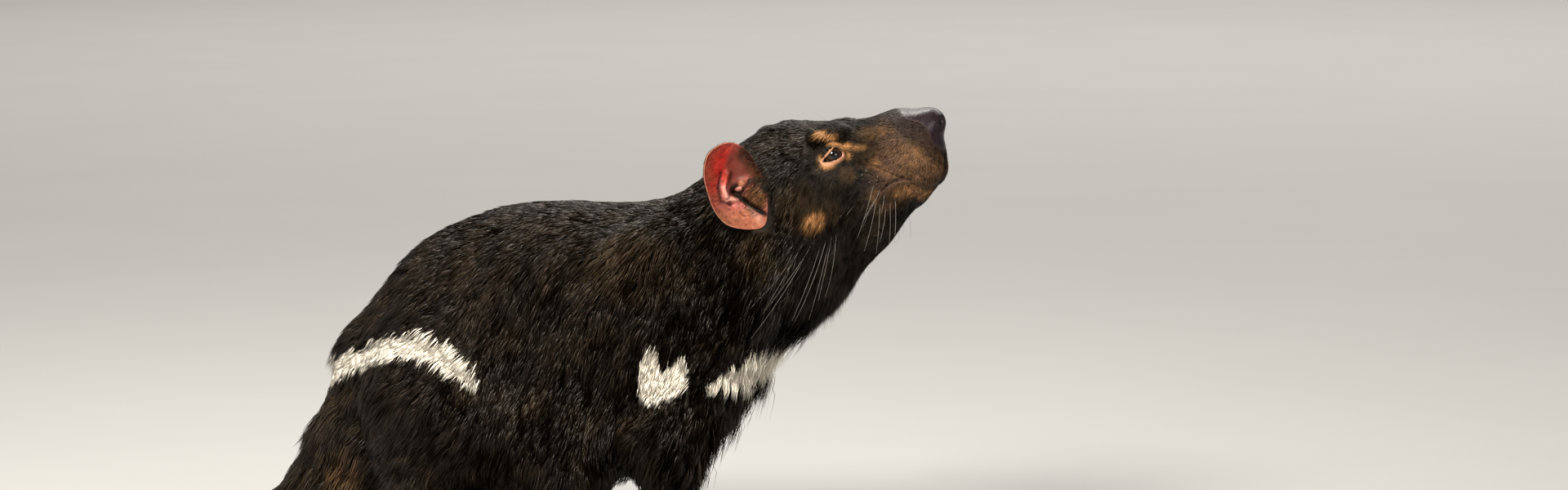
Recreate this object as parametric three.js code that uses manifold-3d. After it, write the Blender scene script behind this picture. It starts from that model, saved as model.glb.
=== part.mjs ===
// A Tasmanian devil at life size: hind legs flexed, forelegs straight, head raised.
// Millimetres. X runs forward along the body, Y to the animal's left, Z up from the floor.
// The body is one smooth form, a blend of tapered limbs and tilted ellipsoids, which is
// meshed once for each part at that part's own step and parted by thin plane cuts.

import * as THREE from 'three';
import Module from 'manifold-3d';

const wasm = await Module();
wasm.setup();

// Driving sizes
const GAP = 0.3;
const RIGHT = -1;
const LEFT = 1;
const SIDES = { right: RIGHT, left: LEFT };
const LEFT_FORELEG_BACK = -30;
const LEFT_HINDLEG_BACK = -10;

// Torso: ellipsoids as centre, radii and pitch in degrees
const LOINS = { at: [-7, 0, 189], r: [94, 76, 91], pitch: -13 };
const RIBS = { at: [62, 0, 208], r: [88, 73, 76], pitch: 0 };
const BREAST = { at: [111, 0, 187], r: [57, 58, 65], pitch: 30 };
const PAUNCH = { at: [54, 0, 160], r: [86, 56, 62], pitch: 0 };
const SACRUM = [-51, 0, 190];
const TAIL_ROOT = [-92, 0, 165];
const WITHERS = [112, 0, 207];
const NAPE = [183, 0, 263];

// Legs: joint places on the midline side of the animal's left, mirrored for the right
const SHOULDER = [140, 44, 178];
const ELBOW = [115, 57, 124];
const WRIST = [124, 54, 36];
const PALM = [134, 55, 11];
const HIP = [-36, 50, 146];
const KNEE = [50, 68, 99];
const FLANK = [44, 46, 166];
const HEEL = [-72, 60, 32];
const BALL = [-10, 65, 11];
const FORE_TOES = { angle: [-22, -8, 6, 20, 42], reach: [23, 27, 27, 24, 17], apart: 6, girth: 6.2 };
const HIND_TOES = { angle: [-14, -4, 7, 18], reach: [26, 30, 29, 24], apart: 6.6, girth: 6.4 };
const TOE_ROOT_HEIGHT = 9;
const TOE_DROP = 4;

// Tail: thick and shaggy, hanging steeply and then laid along the floor
const TAIL = [
  [-108, 0, 150], [-130, 0, 110], [-150, 2, 73], [-183, 6, 41],
  [-228, 14, 23], [-272, 24, 12.5], [-308, 34, 6.5],
];
const TAIL_RADII = [25, 29, 28, 26, 24, 14, 7];

// Head
const CRANIUM = { at: [192, 0, 291], r: [49, 53, 49], pitch: 6 };
const BRIDGE = { from: [205, 0, 311], to: [272, 0, 329], r: [37, 25] };
const MUZZLE = { at: [279, 0, 325], r: [28, 22, 31], pitch: 0 };
const NOSE = { at: [294, 0, 347], r: [13, 13, 12], pitch: 0 };
const LIP = { at: [284, 11, 315], r: [22, 14, 17], pitch: -6, yaw: 10 };
const LIP_CORNER = [250, 24, 299];
const CHIN = [279, 0, 300];
const JAW = [240, 0, 279];
const THROAT = [179, 0, 240];
const CHEEK = { at: [206, 36, 288], r: [42, 27, 37], pitch: -25, yaw: -12 };
const ZYGOMA = { at: [224, 36, 306], r: [28, 14, 12], pitch: 10, yaw: -22 };
const BROW = { at: [228, 24, 341], r: [16, 10, 8], pitch: 10, yaw: -15 };
const EYE = [232, 32, 326];
const EYE_RADIUS = 7;
const LID_THICKNESS = 1.6;
const EYE_SLIT = { length: 6.4, height: 3.9, tilt: 18 };
const NOSTRIL = { at: [304, 6.5, 346], r: [6, 2.6, 3.6], pitch: 35, yaw: 35 };
const MOUTH = { half: 1.5, depth: 2.6 };

// Ear: a cup whose mouth faces outward and forward. Its rim is a closed curve in its own plane,
// each point as the distance back and the distance up from its middle.
const EAR = { at: [171, 66, 306], facing: 57, cup: 14, rim: 1.8, wall: 4.2, canal: [-3, -5] };
const EAR_RIM = [
  [-22.4, -8.2], [-20.5, 2], [-14.5, 14], [-7.5, 24.5], [2, 30.5], [12, 30], [22, 22.5],
  [24.5, 9], [21.5, -4], [16.5, -16.5], [7, -26.5], [-8.5, -30], [-20.5, -27],
];
const EAR_MOUTH_REACH = 40;
const EAR_COLLAR = 1.025;

const rad = THREE.MathUtils.degToRad;

// Distance fields

function capsule(p, a, b, ra, rb, wide = 1) {
  const abx = b[0] - a[0];
  const aby = (b[1] - a[1]) / wide;
  const abz = b[2] - a[2];
  const qx = p[0] - a[0];
  const qy = (p[1] - a[1]) / wide;
  const qz = p[2] - a[2];
  const along = (qx * abx + qy * aby + qz * abz) / (abx * abx + aby * aby + abz * abz);
  const t = Math.min(Math.max(along, 0), 1);
  const off = Math.hypot(qx - t * abx, qy - t * aby, qz - t * abz);
  return (off - (ra + (rb - ra) * t)) * Math.min(1, wide);
}

function lump(p, { at, r, pitch = 0, yaw = 0 }) {
  const cy = Math.cos(rad(yaw));
  const sy = Math.sin(rad(yaw));
  const cp = Math.cos(rad(pitch));
  const sp = Math.sin(rad(pitch));
  const dx = p[0] - at[0];
  const dy = p[1] - at[1];
  const dz = p[2] - at[2];
  const along = dx * cy + dy * sy;
  const x = along * cp + dz * sp;
  const y = dy * cy - dx * sy;
  const z = dz * cp - along * sp;
  const k0 = Math.hypot(x / r[0], y / r[1], z / r[2]);
  const k1 = Math.max(Math.hypot(x / r[0] ** 2, y / r[1] ** 2, z / r[2] ** 2), 1e-6);
  return (k0 * (k0 - 1)) / k1;
}

function blend(a, b, soft) {
  const h = Math.max(soft - Math.abs(a - b), 0) / soft;
  return Math.min(a, b) - (h * h * soft) / 4;
}

function chain(p, points, radii, soft) {
  let d = Infinity;
  for (let i = 1; i < points.length; i++) {
    const link = capsule(p, points[i - 1], points[i], radii[i - 1], radii[i]);
    d = i === 1 ? link : blend(d, link, soft);
  }
  return d;
}

const shifted = ([x, y, z], side, back = 0) => [x + back, side * y, z];
const onSide = (form, side) => ({
  ...form, at: shifted(form.at, side), yaw: side * (form.yaw ?? 0),
});

// Body forms

function torso(q) {
  let d = blend(lump(q, LOINS), lump(q, RIBS), 40);
  d = blend(d, capsule(q, SACRUM, TAIL_ROOT, 58, 50, 0.95), 30);
  d = blend(d, lump(q, BREAST), 40);
  d = blend(d, lump(q, PAUNCH), 30);
  return blend(d, capsule(q, WITHERS, NAPE, 69, 65, 0.98), 34);
}

function head(q) {
  let d = lump(q, CRANIUM);
  d = blend(d, capsule(q, BRIDGE.from, BRIDGE.to, ...BRIDGE.r, 0.92), 18);
  d = blend(d, lump(q, MUZZLE), 12);
  d = blend(d, lump(q, NOSE), 6);
  d = blend(d, lump(q, LIP), 9);
  d = blend(d, capsule(q, LIP.at, LIP_CORNER, 13, 20), 10);
  d = blend(d, capsule(q, CHIN, JAW, 15, 28.5), 10);
  d = blend(d, capsule(q, JAW, THROAT, 28.5, 45.5), 16);
  d = blend(d, lump(q, CHEEK), 14);
  d = blend(d, lump(q, ZYGOMA), 10);
  return blend(d, lump(q, BROW), 10);
}

function toeLines(ball, side, toes) {
  return toes.angle.map((angle, i) => {
    const turn = rad(angle) * side;
    const out = (i - (toes.angle.length - 1) / 2) * toes.apart;
    const root = [ball[0], ball[1] + side * out, TOE_ROOT_HEIGHT];
    const reach = toes.reach[i];
    const tip = [
      root[0] + Math.cos(turn) * reach, root[1] + Math.sin(turn) * reach, root[2] - TOE_DROP,
    ];
    const knuckle = [(root[0] + tip[0]) / 2, (root[1] + tip[1]) / 2, root[2] + 2];
    return [root, knuckle, tip];
  });
}

function withToes(p, d, lines, girth) {
  for (const line of lines) {
    d = blend(d, chain(p, line, [girth + 1, girth, girth - 0.8], 3), 4);
  }
  return d;
}

function makeLeg(side, foreBack, hindBack) {
  const shoulderBlade = onSide({ at: [100, 50, 222], r: [46, 26, 60], pitch: -18, yaw: -8 }, side);
  const haunch = onSide({ at: [-37, 46, 150], r: [66, 38, 64], pitch: -12 }, side);
  const shoulder = shifted(SHOULDER, side);
  const elbowTop = shifted([ELBOW[0] + 5, ELBOW[1], ELBOW[2] + 4], side, foreBack / 2);
  const elbow = shifted(ELBOW, side, foreBack / 2);
  const wrist = shifted(WRIST, side, foreBack);
  const palm = shifted(PALM, side, foreBack);
  const hip = shifted(HIP, side);
  const knee = shifted(KNEE, side, hindBack);
  const flank = shifted(FLANK, side);
  const ham = [shifted([-56, 46, 136], side), shifted([-67, 54, 84], side, hindBack)];
  const heel = shifted(HEEL, side, hindBack);
  const ball = shifted(BALL, side, hindBack);
  const foreToes = toeLines(palm, side, FORE_TOES);
  const hindToes = toeLines(ball, side, HIND_TOES);

  const arm = (p) => blend(lump(p, shoulderBlade), capsule(p, shoulder, elbowTop, 37, 31, 0.9), 26);
  const foreleg = (p) => {
    let d = capsule(p, elbow, wrist, 28.5, 15, 0.9);
    d = blend(d, capsule(p, [wrist[0], wrist[1], 28], palm, 15, 13.5, 1.12), 12);
    return withToes(p, d, foreToes, FORE_TOES.girth);
  };
  const thigh = (p) => {
    let d = blend(lump(p, haunch), capsule(p, hip, knee, 50, 28, 0.86), 26);
    d = blend(d, capsule(p, ham[0], ham[1], 44, 33, 0.8), 24);
    return blend(d, capsule(p, knee, flank, 27, 36, 0.8), 20);
  };
  const hindleg = (p) => {
    let d = capsule(p, knee, heel, 27, 16, 0.9);
    d = blend(d, capsule(p, [heel[0] - 2, heel[1], 15], ball, 14.5, 13, 1.1), 14);
    return withToes(p, d, hindToes, HIND_TOES.girth);
  };
  return { side, arm, foreleg, thigh, hindleg, elbow, knee, heel, foreToes, hindToes };
}

const LEGS = {
  right: makeLeg(RIGHT, 0, 0),
  left: makeLeg(LEFT, LEFT_FORELEG_BACK, LEFT_HINDLEG_BACK),
};

function body(p) {
  const q = [p[0], Math.abs(p[1]), p[2]];
  let d = blend(torso(q), head(q), 16);
  for (const leg of Object.values(LEGS)) {
    d = blend(d, leg.arm(p), 16);
    d = blend(d, leg.foreleg(p), 12);
    d = blend(d, leg.thigh(p), 24);
    d = blend(d, leg.hindleg(p), 9);
  }
  return blend(d, chain(p, TAIL, TAIL_RADII, 22), 32);
}

function gradient(field, p) {
  const e = 0.25;
  const g = new THREE.Vector3(
    field([p[0] + e, p[1], p[2]]) - field([p[0] - e, p[1], p[2]]),
    field([p[0], p[1] + e, p[2]]) - field([p[0], p[1] - e, p[2]]),
    field([p[0], p[1], p[2] + e]) - field([p[0], p[1], p[2] - e]),
  );
  return g.divideScalar(2 * e);
}

// Meshing a field inside a box: one vertex in each cell that the surface crosses

const CORNERS = [0, 1, 2, 3, 4, 5, 6, 7].map((c) => [c & 1, (c >> 1) & 1, (c >> 2) & 1]);
const EDGES = CORNERS.flatMap((c, i) => [1, 2, 4].filter((bit) => !(i & bit)).map((bit) => [i, i | bit]));

function gridLine(low, high, step) {
  const stepAt = typeof step === 'number' ? () => step : step;
  const line = [low - stepAt(low)];
  while (line.at(-1) < high) line.push(line.at(-1) + stepAt(line.at(-1)));
  return line;
}

function netMesh(field, low, high, steps) {
  const lines = low.map((v, k) => gridLine(v, high[k], steps[k] ?? steps));
  const count = lines.map((line) => line.length);
  const place = (i, k, part = 0) => lines[k][i] + (part && part * (lines[k][i + 1] - lines[k][i]));
  const at = (i, j, k) => (k * count[1] + j) * count[0] + i;
  const values = new Float64Array(count[0] * count[1] * count[2]);
  for (let k = 0; k < count[2]; k++) {
    for (let j = 0; j < count[1]; j++) {
      for (let i = 0; i < count[0]; i++) {
        const p = [place(i, 0), place(j, 1), place(k, 2)];
        const rim = Math.max(...p.map((v, a) => Math.max(low[a] - v, v - high[a])));
        values[at(i, j, k)] = Math.max(field(p), rim + 1e-4);
      }
    }
  }

  fillPinches(values, count, at);

  const cellVertex = new Map();
  const points = [];
  for (let k = 0; k < count[2] - 1; k++) {
    for (let j = 0; j < count[1] - 1; j++) {
      for (let i = 0; i < count[0] - 1; i++) {
        const v = CORNERS.map((c) => values[at(i + c[0], j + c[1], k + c[2])]);
        const sum = [0, 0, 0];
        let hits = 0;
        for (const [a, b] of EDGES) {
          if (v[a] < 0 !== v[b] < 0) {
            const t = v[a] / (v[a] - v[b]);
            for (let n = 0; n < 3; n++) sum[n] += CORNERS[a][n] + t * (CORNERS[b][n] - CORNERS[a][n]);
            hits++;
          }
        }
        if (hits) {
          cellVertex.set(at(i, j, k), points.length);
          points.push([i, j, k].map((cell, n) => place(cell, n, sum[n] / hits)));
        }
      }
    }
  }

  const quads = [];
  for (const key of cellVertex.keys()) {
    const i = key % count[0];
    const j = Math.floor(key / count[0]) % count[1];
    const k = Math.floor(key / (count[0] * count[1]));
    const here = values[at(i, j, k)] < 0;
    const rounds = [
      [[1, 0, 0], [0, -1, 0], [0, 0, -1]],
      [[0, 1, 0], [0, 0, -1], [-1, 0, 0]],
      [[0, 0, 1], [-1, 0, 0], [0, -1, 0]],
    ];
    for (const [step1, u, w] of rounds) {
      const there = values[at(i + step1[0], j + step1[1], k + step1[2])] < 0;
      if (here === there) continue;
      const cell = (a, b) => cellVertex.get(at(
        i + a * u[0] + b * w[0], j + a * u[1] + b * w[1], k + a * u[2] + b * w[2]));
      const quad = [cell(0, 0), cell(1, 0), cell(1, 1), cell(0, 1)];
      quads.push(here ? quad : quad.reverse());
    }
  }
  relax(field, points, quads, low, high);
  return { points, faces: quads.flatMap((q) => splitQuad(points, q)) };
}

// Where two corners of a grid face are inside and the two across are not, the surface would
// pinch; the nearer outside corner is taken in, which fills the bottom of a tight crease
function fillPinches(values, count, at) {
  const squares = [[[1, 0, 0], [0, 1, 0]], [[1, 0, 0], [0, 0, 1]], [[0, 1, 0], [0, 0, 1]]];
  let changed = true;
  while (changed) {
    changed = false;
    for (let k = 0; k < count[2] - 1; k++) {
      for (let j = 0; j < count[1] - 1; j++) {
        for (let i = 0; i < count[0] - 1; i++) {
          for (const [u, w] of squares) {
            const ring = [[0, 0], [1, 0], [1, 1], [0, 1]].map(([a, b]) => at(
              i + a * u[0] + b * w[0], j + a * u[1] + b * w[1], k + a * u[2] + b * w[2]));
            const inside = ring.map((n) => values[n] < 0);
            if (inside[0] !== inside[2] || inside[1] !== inside[3] || inside[0] === inside[1]) continue;
            const open = ring.filter((n) => values[n] >= 0).sort((a, b) => values[a] - values[b]);
            values[open[0]] = -1e-3;
            changed = true;
          }
        }
      }
    }
  }
}

// Evens the vertices out along the surface and pulls each back onto it
function relax(field, points, quads, low, high, rounds = 3) {
  const inside = (p) => p.every((v, k) => v > low[k] + 0.5 && v < high[k] - 0.5);
  for (let round = 0; round < rounds; round++) {
    const sums = points.map(() => [0, 0, 0, 0]);
    for (const q of quads) {
      q.forEach((a, n) => {
        const b = points[q[(n + 1) % 4]];
        const c = points[q[(n + 3) % 4]];
        for (let k = 0; k < 3; k++) sums[a][k] += b[k] + c[k];
        sums[a][3] += 2;
      });
    }
    points.forEach((p, n) => {
      if (!inside(p)) return;
      const target = new THREE.Vector3(...sums[n].slice(0, 3)).divideScalar(sums[n][3]);
      const g = gradient(field, p);
      const normal = g.clone().normalize();
      const move = target.sub(new THREE.Vector3(...p)).multiplyScalar(0.5);
      move.addScaledVector(normal, -move.dot(normal));
      const q = new THREE.Vector3(...p).add(move);
      q.addScaledVector(normal, -field([q.x, q.y, q.z]) / Math.max(g.length(), 0.4));
      points[n] = [q.x, q.y, q.z];
    });
  }
}

function splitQuad(points, [a, b, c, d]) {
  const span = (m, n) => Math.hypot(...points[m].map((v, k) => v - points[n][k]));
  return span(a, c) < span(b, d) ? [[a, b, c], [a, c, d]] : [[a, b, d], [b, c, d]];
}

// Solids

function toSolid({ points, faces }) {
  const solid = new wasm.Manifold(new wasm.Mesh({
    numProp: 3,
    vertProperties: new Float32Array(points.flat()),
    triVerts: new Uint32Array(faces.flat()),
  }));
  if (solid.volume() > 0) return solid;
  return toSolid({ points, faces: faces.map((face) => [...face].reverse()) });
}

function largestPiece(solid) {
  const pieces = solid.decompose();
  return pieces.reduce((a, b) => (a.volume() > b.volume() ? a : b));
}

// Cuts leave a few very short edges. Each is shrunk to one point where that keeps the
// surface whole, which it does when its ends share just two neighbours.
const SHORT_EDGE = 0.08;
function welded(solid) {
  const { numVert, numTri, vertProperties, triVerts } = solid.getMesh();
  const points = Array.from({ length: numVert }, (_, v) => [...vertProperties.slice(3 * v, 3 * v + 3)]);
  const faces = Array.from({ length: numTri }, (_, t) => [...triVerts.slice(3 * t, 3 * t + 3)]);
  const around = points.map(() => new Set());
  faces.forEach((face, t) => face.forEach((v) => around[v].add(t)));
  const neighbours = (v) => new Set([...around[v]].flatMap((t) => faces[t]).filter((w) => w !== v));
  const length = (a, b) => Math.hypot(...points[a].map((v, k) => v - points[b][k]));
  for (let t = 0; t < numTri; t++) {
    for (let n = 0; n < 3 && faces[t]; n++) {
      const [a, b] = [faces[t][n], faces[t][(n + 1) % 3]];
      if (length(a, b) > SHORT_EDGE) continue;
      const near = neighbours(a);
      if ([...neighbours(b)].filter((v) => near.has(v)).length !== 2) continue;
      for (const other of [...around[b]]) {
        if (faces[other].includes(a)) {
          faces[other].forEach((v) => around[v].delete(other));
          faces[other] = null;
        } else {
          faces[other] = faces[other].map((v) => (v === b ? a : v));
          around[a].add(other);
        }
      }
      around[b].clear();
      n = -1;
    }
  }
  const kept = faces.filter(Boolean);
  const used = [...new Set(kept.flat())];
  const place = new Map(used.map((v, n) => [v, n]));
  return toSolid({ points: used.map((v) => points[v]), faces: kept.map((f) => f.map((v) => place.get(v))) });
}

function solidOf(geometry, matrix = new THREE.Matrix4()) {
  const source = geometry.index ? geometry.toNonIndexed() : geometry;
  const position = source.applyMatrix4(matrix).getAttribute('position');
  const seen = new Map();
  const points = [];
  const corners = [];
  for (let i = 0; i < position.count; i++) {
    const p = [position.getX(i), position.getY(i), position.getZ(i)];
    const key = p.map((v) => v.toFixed(4)).join();
    if (!seen.has(key)) {
      seen.set(key, points.length);
      points.push(p);
    }
    corners.push(seen.get(key));
  }
  const faces = [];
  for (let i = 0; i < corners.length; i += 3) {
    const face = corners.slice(i, i + 3);
    if (new Set(face).size === 3) faces.push(face);
  }
  return toSolid({ points, faces });
}

// The side of a plane that its outward direction points away from, as a large box
const REACH = 900;
function behind([point, outward], inset) {
  const n = new THREE.Vector3(...outward).normalize();
  const turn = new THREE.Quaternion().setFromUnitVectors(new THREE.Vector3(0, 0, 1), n);
  const centre = new THREE.Vector3(...point).addScaledVector(n, -REACH / 2 - inset);
  const matrix = new THREE.Matrix4().compose(centre, turn, new THREE.Vector3(1, 1, 1));
  return solidOf(new THREE.BoxGeometry(REACH, REACH, REACH), matrix);
}

const cellSolid = (planes, inset) => planes
  .map((plane) => behind(plane, inset))
  .reduce((a, b) => a.intersect(b));

// A solid moved outward all over by the gap that touching parts keep
function grown(solid, by = GAP) {
  const mesh = solid.getMesh();
  const n = mesh.numVert;
  const normals = Array.from({ length: n }, () => new THREE.Vector3());
  const corner = (v) => new THREE.Vector3(...mesh.vertProperties.slice(3 * v, 3 * v + 3));
  for (let t = 0; t < mesh.numTri; t++) {
    const [a, b, c] = mesh.triVerts.slice(3 * t, 3 * t + 3);
    const pa = corner(a);
    const face = corner(b).sub(pa).cross(corner(c).sub(pa));
    for (const v of [a, b, c]) normals[v].add(face);
  }
  const points = normals.map((normal, v) => corner(v).addScaledVector(normal.normalize(), by).toArray());
  const faces = Array.from({ length: mesh.numTri }, (_, t) => [...mesh.triVerts.slice(3 * t, 3 * t + 3)]);
  return toSolid({ points, faces });
}

// A tapered tube through rings of points, closed by a fan at each end
function ringMesh(rings) {
  const sides = rings[0].length;
  const points = rings.flat();
  const faces = [];
  for (let r = 1; r < rings.length; r++) {
    for (let s = 0; s < sides; s++) {
      const a = (r - 1) * sides + s;
      const b = (r - 1) * sides + ((s + 1) % sides);
      faces.push([a, b, b + sides], [a, b + sides, a + sides]);
    }
  }
  const last = (rings.length - 1) * sides;
  for (let s = 1; s < sides - 1; s++) {
    faces.push([0, s + 1, s]);
    faces.push([last, last + s, last + s + 1]);
  }
  return { points, faces };
}

// Cutting planes, each as a point on it and the direction that leaves the part

const headBack = [[142, 0, 322], [-0.846, 0, -0.538]];
const neckBack = [[118, 0, 298], [-0.949, 0, -0.32]];
const chestBack = [[44, 0, 200], [-1, 0, 0]];
const rumpFront = [[-46, 0, 200], [1, 0, 0]];
const tailRoot = [[-105, 0, 118], [0.757, 0, 0.654]];
const besideTail = (side) => [[-104, side * 16, 60], [0.707, side * 0.707, 0]];
const aroundTail = [besideTail(RIGHT), besideTail(LEFT)];
const tailCuts = [
  [[-163, 3, 62], [-0.62, 0.05, -0.78]],
  [[-226, 14, 24], [-0.96, 0.2, -0.2]],
];
const flipped = ([point, n]) => [point, n.map((v) => -v)];
const floor = [[0, 0, 0], [0, 0, -1]];

function legCells(leg) {
  const s = leg.side;
  const inner = (y) => [[0, s * y, 0], [0, -s, 0]];
  const groin = [[0, s * 10, 70], [0, -s * 0.973, 0.23]];
  const tailGap = flipped(besideTail(s));
  const wristCut = [[0, 0, 34], [0, 0, 1]];
  const heelCut = [[0, 0, 33], [0, 0, 1]];
  const elbowCut = [[leg.elbow[0], 0, leg.elbow[2] - 6], [0.18, 0, 1]];
  const kneeCut = [[leg.heel[0], 0, leg.heel[2] + 18], [-0.43, 0, 0.9]];
  const foreRear = [[leg.elbow[0] - 31.5, 0, 0], [-1, 0, 0]];
  const hindFront = [[leg.knee[0] + 28, 0, 0], [1, 0, 0]];
  return {
    forefoot: [inner(14), wristCut, foreRear, floor],
    hindfoot: [inner(14), heelCut, hindFront, tailGap, floor],
    forearm: [inner(32), flipped(wristCut), elbowCut, foreRear],
    shank: [inner(34), flipped(heelCut), kneeCut, hindFront, tailGap],
    upper_arm: [
      inner(34), flipped(elbowCut), [[0, 0, 196], [-0.1, s * 0.25, 1]], [[84, 0, 160], [-1, 0, -0.15]],
      flipped(neckBack),
    ],
    thigh: [groin, flipped(kneeCut), [[0, 0, 200], [0.12, s * 0.2, 1]], tailGap, hindFront],
  };
}

// Every fleshy part: name, mesh step, planes; each is cut clear of the parts before it
const nosePlane = [[272, 0, 358], [-0.65, 0, -0.76]];
const parts = [
  { name: 'nose_pad', step: 5, planes: [nosePlane, [[0, 12.5, 0], [0, 1, 0]], [[0, -12.5, 0], [0, -1, 0]]] },
  { name: 'tail_root', step: 14, planes: [tailRoot, ...aroundTail, tailCuts[0]] },
  { name: 'tail_middle', step: 13, planes: [flipped(tailCuts[0]), ...aroundTail, tailCuts[1], floor] },
  { name: 'tail_tip', step: 9, planes: [flipped(tailCuts[1]), ...aroundTail, floor] },
];
const LEG_STEPS = {
  forefoot: [8, 4.8, 5.6], hindfoot: [9.5, 5, 5.8], forearm: 12, shank: 13, upper_arm: 16, thigh: 18,
};
const HEAD_STEPS = [
  (x) => (x > 236 ? 6.2 : 9.5),
  (y) => (Math.abs(y) < 30 ? 6.6 : 9),
  (z) => (z > 290 ? 6.6 : 10),
];
for (const [part, step] of Object.entries(LEG_STEPS)) {
  for (const [sideName, leg] of Object.entries(LEGS)) {
    parts.push({ name: `${part}_${sideName}`, step, planes: legCells(leg)[part] });
  }
}
parts.push(
  { name: 'head', step: HEAD_STEPS, planes: [headBack] },
  { name: 'neck', step: 17, planes: [flipped(headBack), neckBack] },
  { name: 'chest', step: 19, planes: [flipped(neckBack), chestBack] },
  { name: 'rump', step: 19, planes: [rumpFront] },
  { name: 'belly', step: 19, planes: [flipped(chestBack), flipped(rumpFront)] },
);

// The box in which a part is meshed: its cell within the animal's reach, and a margin
const MARGIN = 18;
const LOW = [-325, -105, -2];
const HIGH = [318, 105, 372];
function meshBox(planes) {
  const whole = new THREE.BoxGeometry(...HIGH.map((v, k) => v - LOW[k]));
  const centre = HIGH.map((v, k) => (v + LOW[k]) / 2);
  const box = solidOf(whole, new THREE.Matrix4().makeTranslation(...centre));
  const { min, max } = box.intersect(cellSolid(planes, 0)).boundingBox();
  return [
    min.map((v, k) => Math.max(v - MARGIN, LOW[k] - 2)),
    max.map((v, k) => Math.min(v + MARGIN, HIGH[k] + 2)),
  ];
}

const solids = {};
parts.forEach((part, n) => {
  const [low, high] = meshBox(part.planes);
  let solid = toSolid(netMesh(body, low, high, part.step)).intersect(cellSolid(part.planes, 0));
  for (const earlier of parts.slice(0, n)) {
    solid = solid.subtract(cellSolid(earlier.planes, -GAP));
  }
  solids[part.name] = largestPiece(solid);
});

// Head: eyes in their lids, the line of the mouth, nostrils and ears

function ball(centre, radius, around = 16, up = 10) {
  const matrix = new THREE.Matrix4().makeTranslation(...centre);
  return solidOf(new THREE.SphereGeometry(radius, around, up), matrix);
}

function ellipsoid({ at, r, pitch = 0, yaw = 0 }) {
  const turn = new THREE.Quaternion().setFromEuler(new THREE.Euler(0, -rad(pitch), rad(yaw), 'ZYX'));
  const matrix = new THREE.Matrix4().compose(
    new THREE.Vector3(...at), turn, new THREE.Vector3(...r));
  return solidOf(new THREE.SphereGeometry(1, 9, 6), matrix);
}

// The almond opening between the lids, as a prism that leaves the eye along its gaze
function eyeSlit(centre, side) {
  const shape = new THREE.Shape();
  shape.moveTo(-EYE_SLIT.length, 0);
  shape.quadraticCurveTo(0, EYE_SLIT.height * 2, EYE_SLIT.length, 0);
  shape.quadraticCurveTo(0, -EYE_SLIT.height * 1.4, -EYE_SLIT.length, 0);
  const prism = new THREE.ExtrudeGeometry(shape, { depth: 30, bevelEnabled: false, curveSegments: 6 });
  const gaze = gradient(body, centre).setZ(0).normalize();
  const up = new THREE.Vector3(0, 0, 1);
  const matrix = new THREE.Matrix4().makeBasis(up.clone().cross(gaze), up, gaze);
  matrix.setPosition(...centre);
  matrix.multiply(new THREE.Matrix4().makeRotationZ(rad(-side * EYE_SLIT.tilt)));
  return solidOf(prism, matrix);
}

// Where the skin lies, going out from the midline at one place along and up the head
function skinAt(x, z, side) {
  let near = 0;
  let far = 70;
  for (let i = 0; i < 30; i++) {
    const middle = (near + far) / 2;
    if (body([x, middle, z]) < 0) near = middle;
    else far = middle;
  }
  return [x, side * near, z];
}

// The mouth runs from its right corner round the front of the lips to its left corner
const MOUTH_LINE = [
  [258, 297], [263, 300.5], [268, 304], [274, 307.5], [280, 309.5], [286, 309], [292, 306.5], [297, 304],
];
const MOUTH_FRONT_HEIGHT = 302;
function mouthPath() {
  const right = MOUTH_LINE.map(([x, z]) => skinAt(x, z, RIGHT));
  const left = MOUTH_LINE.map(([x, z]) => skinAt(x, z, LEFT)).reverse();
  let front = 290;
  while (body([front, 0, MOUTH_FRONT_HEIGHT]) < 0) front += 0.5;
  const curve = new THREE.CatmullRomCurve3(
    [...right, [front, 0, MOUTH_FRONT_HEIGHT], ...left].map((p) => new THREE.Vector3(...p)));
  return curve.getSpacedPoints(34);
}

function mouthGroove() {
  const path = mouthPath();
  const rings = path.map((p, i) => {
    const ahead = path[Math.min(i + 1, path.length - 1)];
    const before = path[Math.max(i - 1, 0)];
    const along = ahead.clone().sub(before).normalize();
    const out = gradient(body, p.toArray());
    out.addScaledVector(along, -out.dot(along)).normalize();
    const across = along.clone().cross(out);
    const ease = Math.min(1, 0.35 + Math.min(i, path.length - 1 - i) / 6);
    const crest = 2;
    const half = (MOUTH.half * ease * (crest + MOUTH.depth)) / MOUTH.depth;
    return [
      p.clone().addScaledVector(out, crest).addScaledVector(across, half).toArray(),
      p.clone().addScaledVector(out, crest).addScaledVector(across, -half).toArray(),
      p.clone().addScaledVector(out, -MOUTH.depth * ease).toArray(),
    ];
  });
  return toSolid(ringMesh(rings));
}

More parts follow.
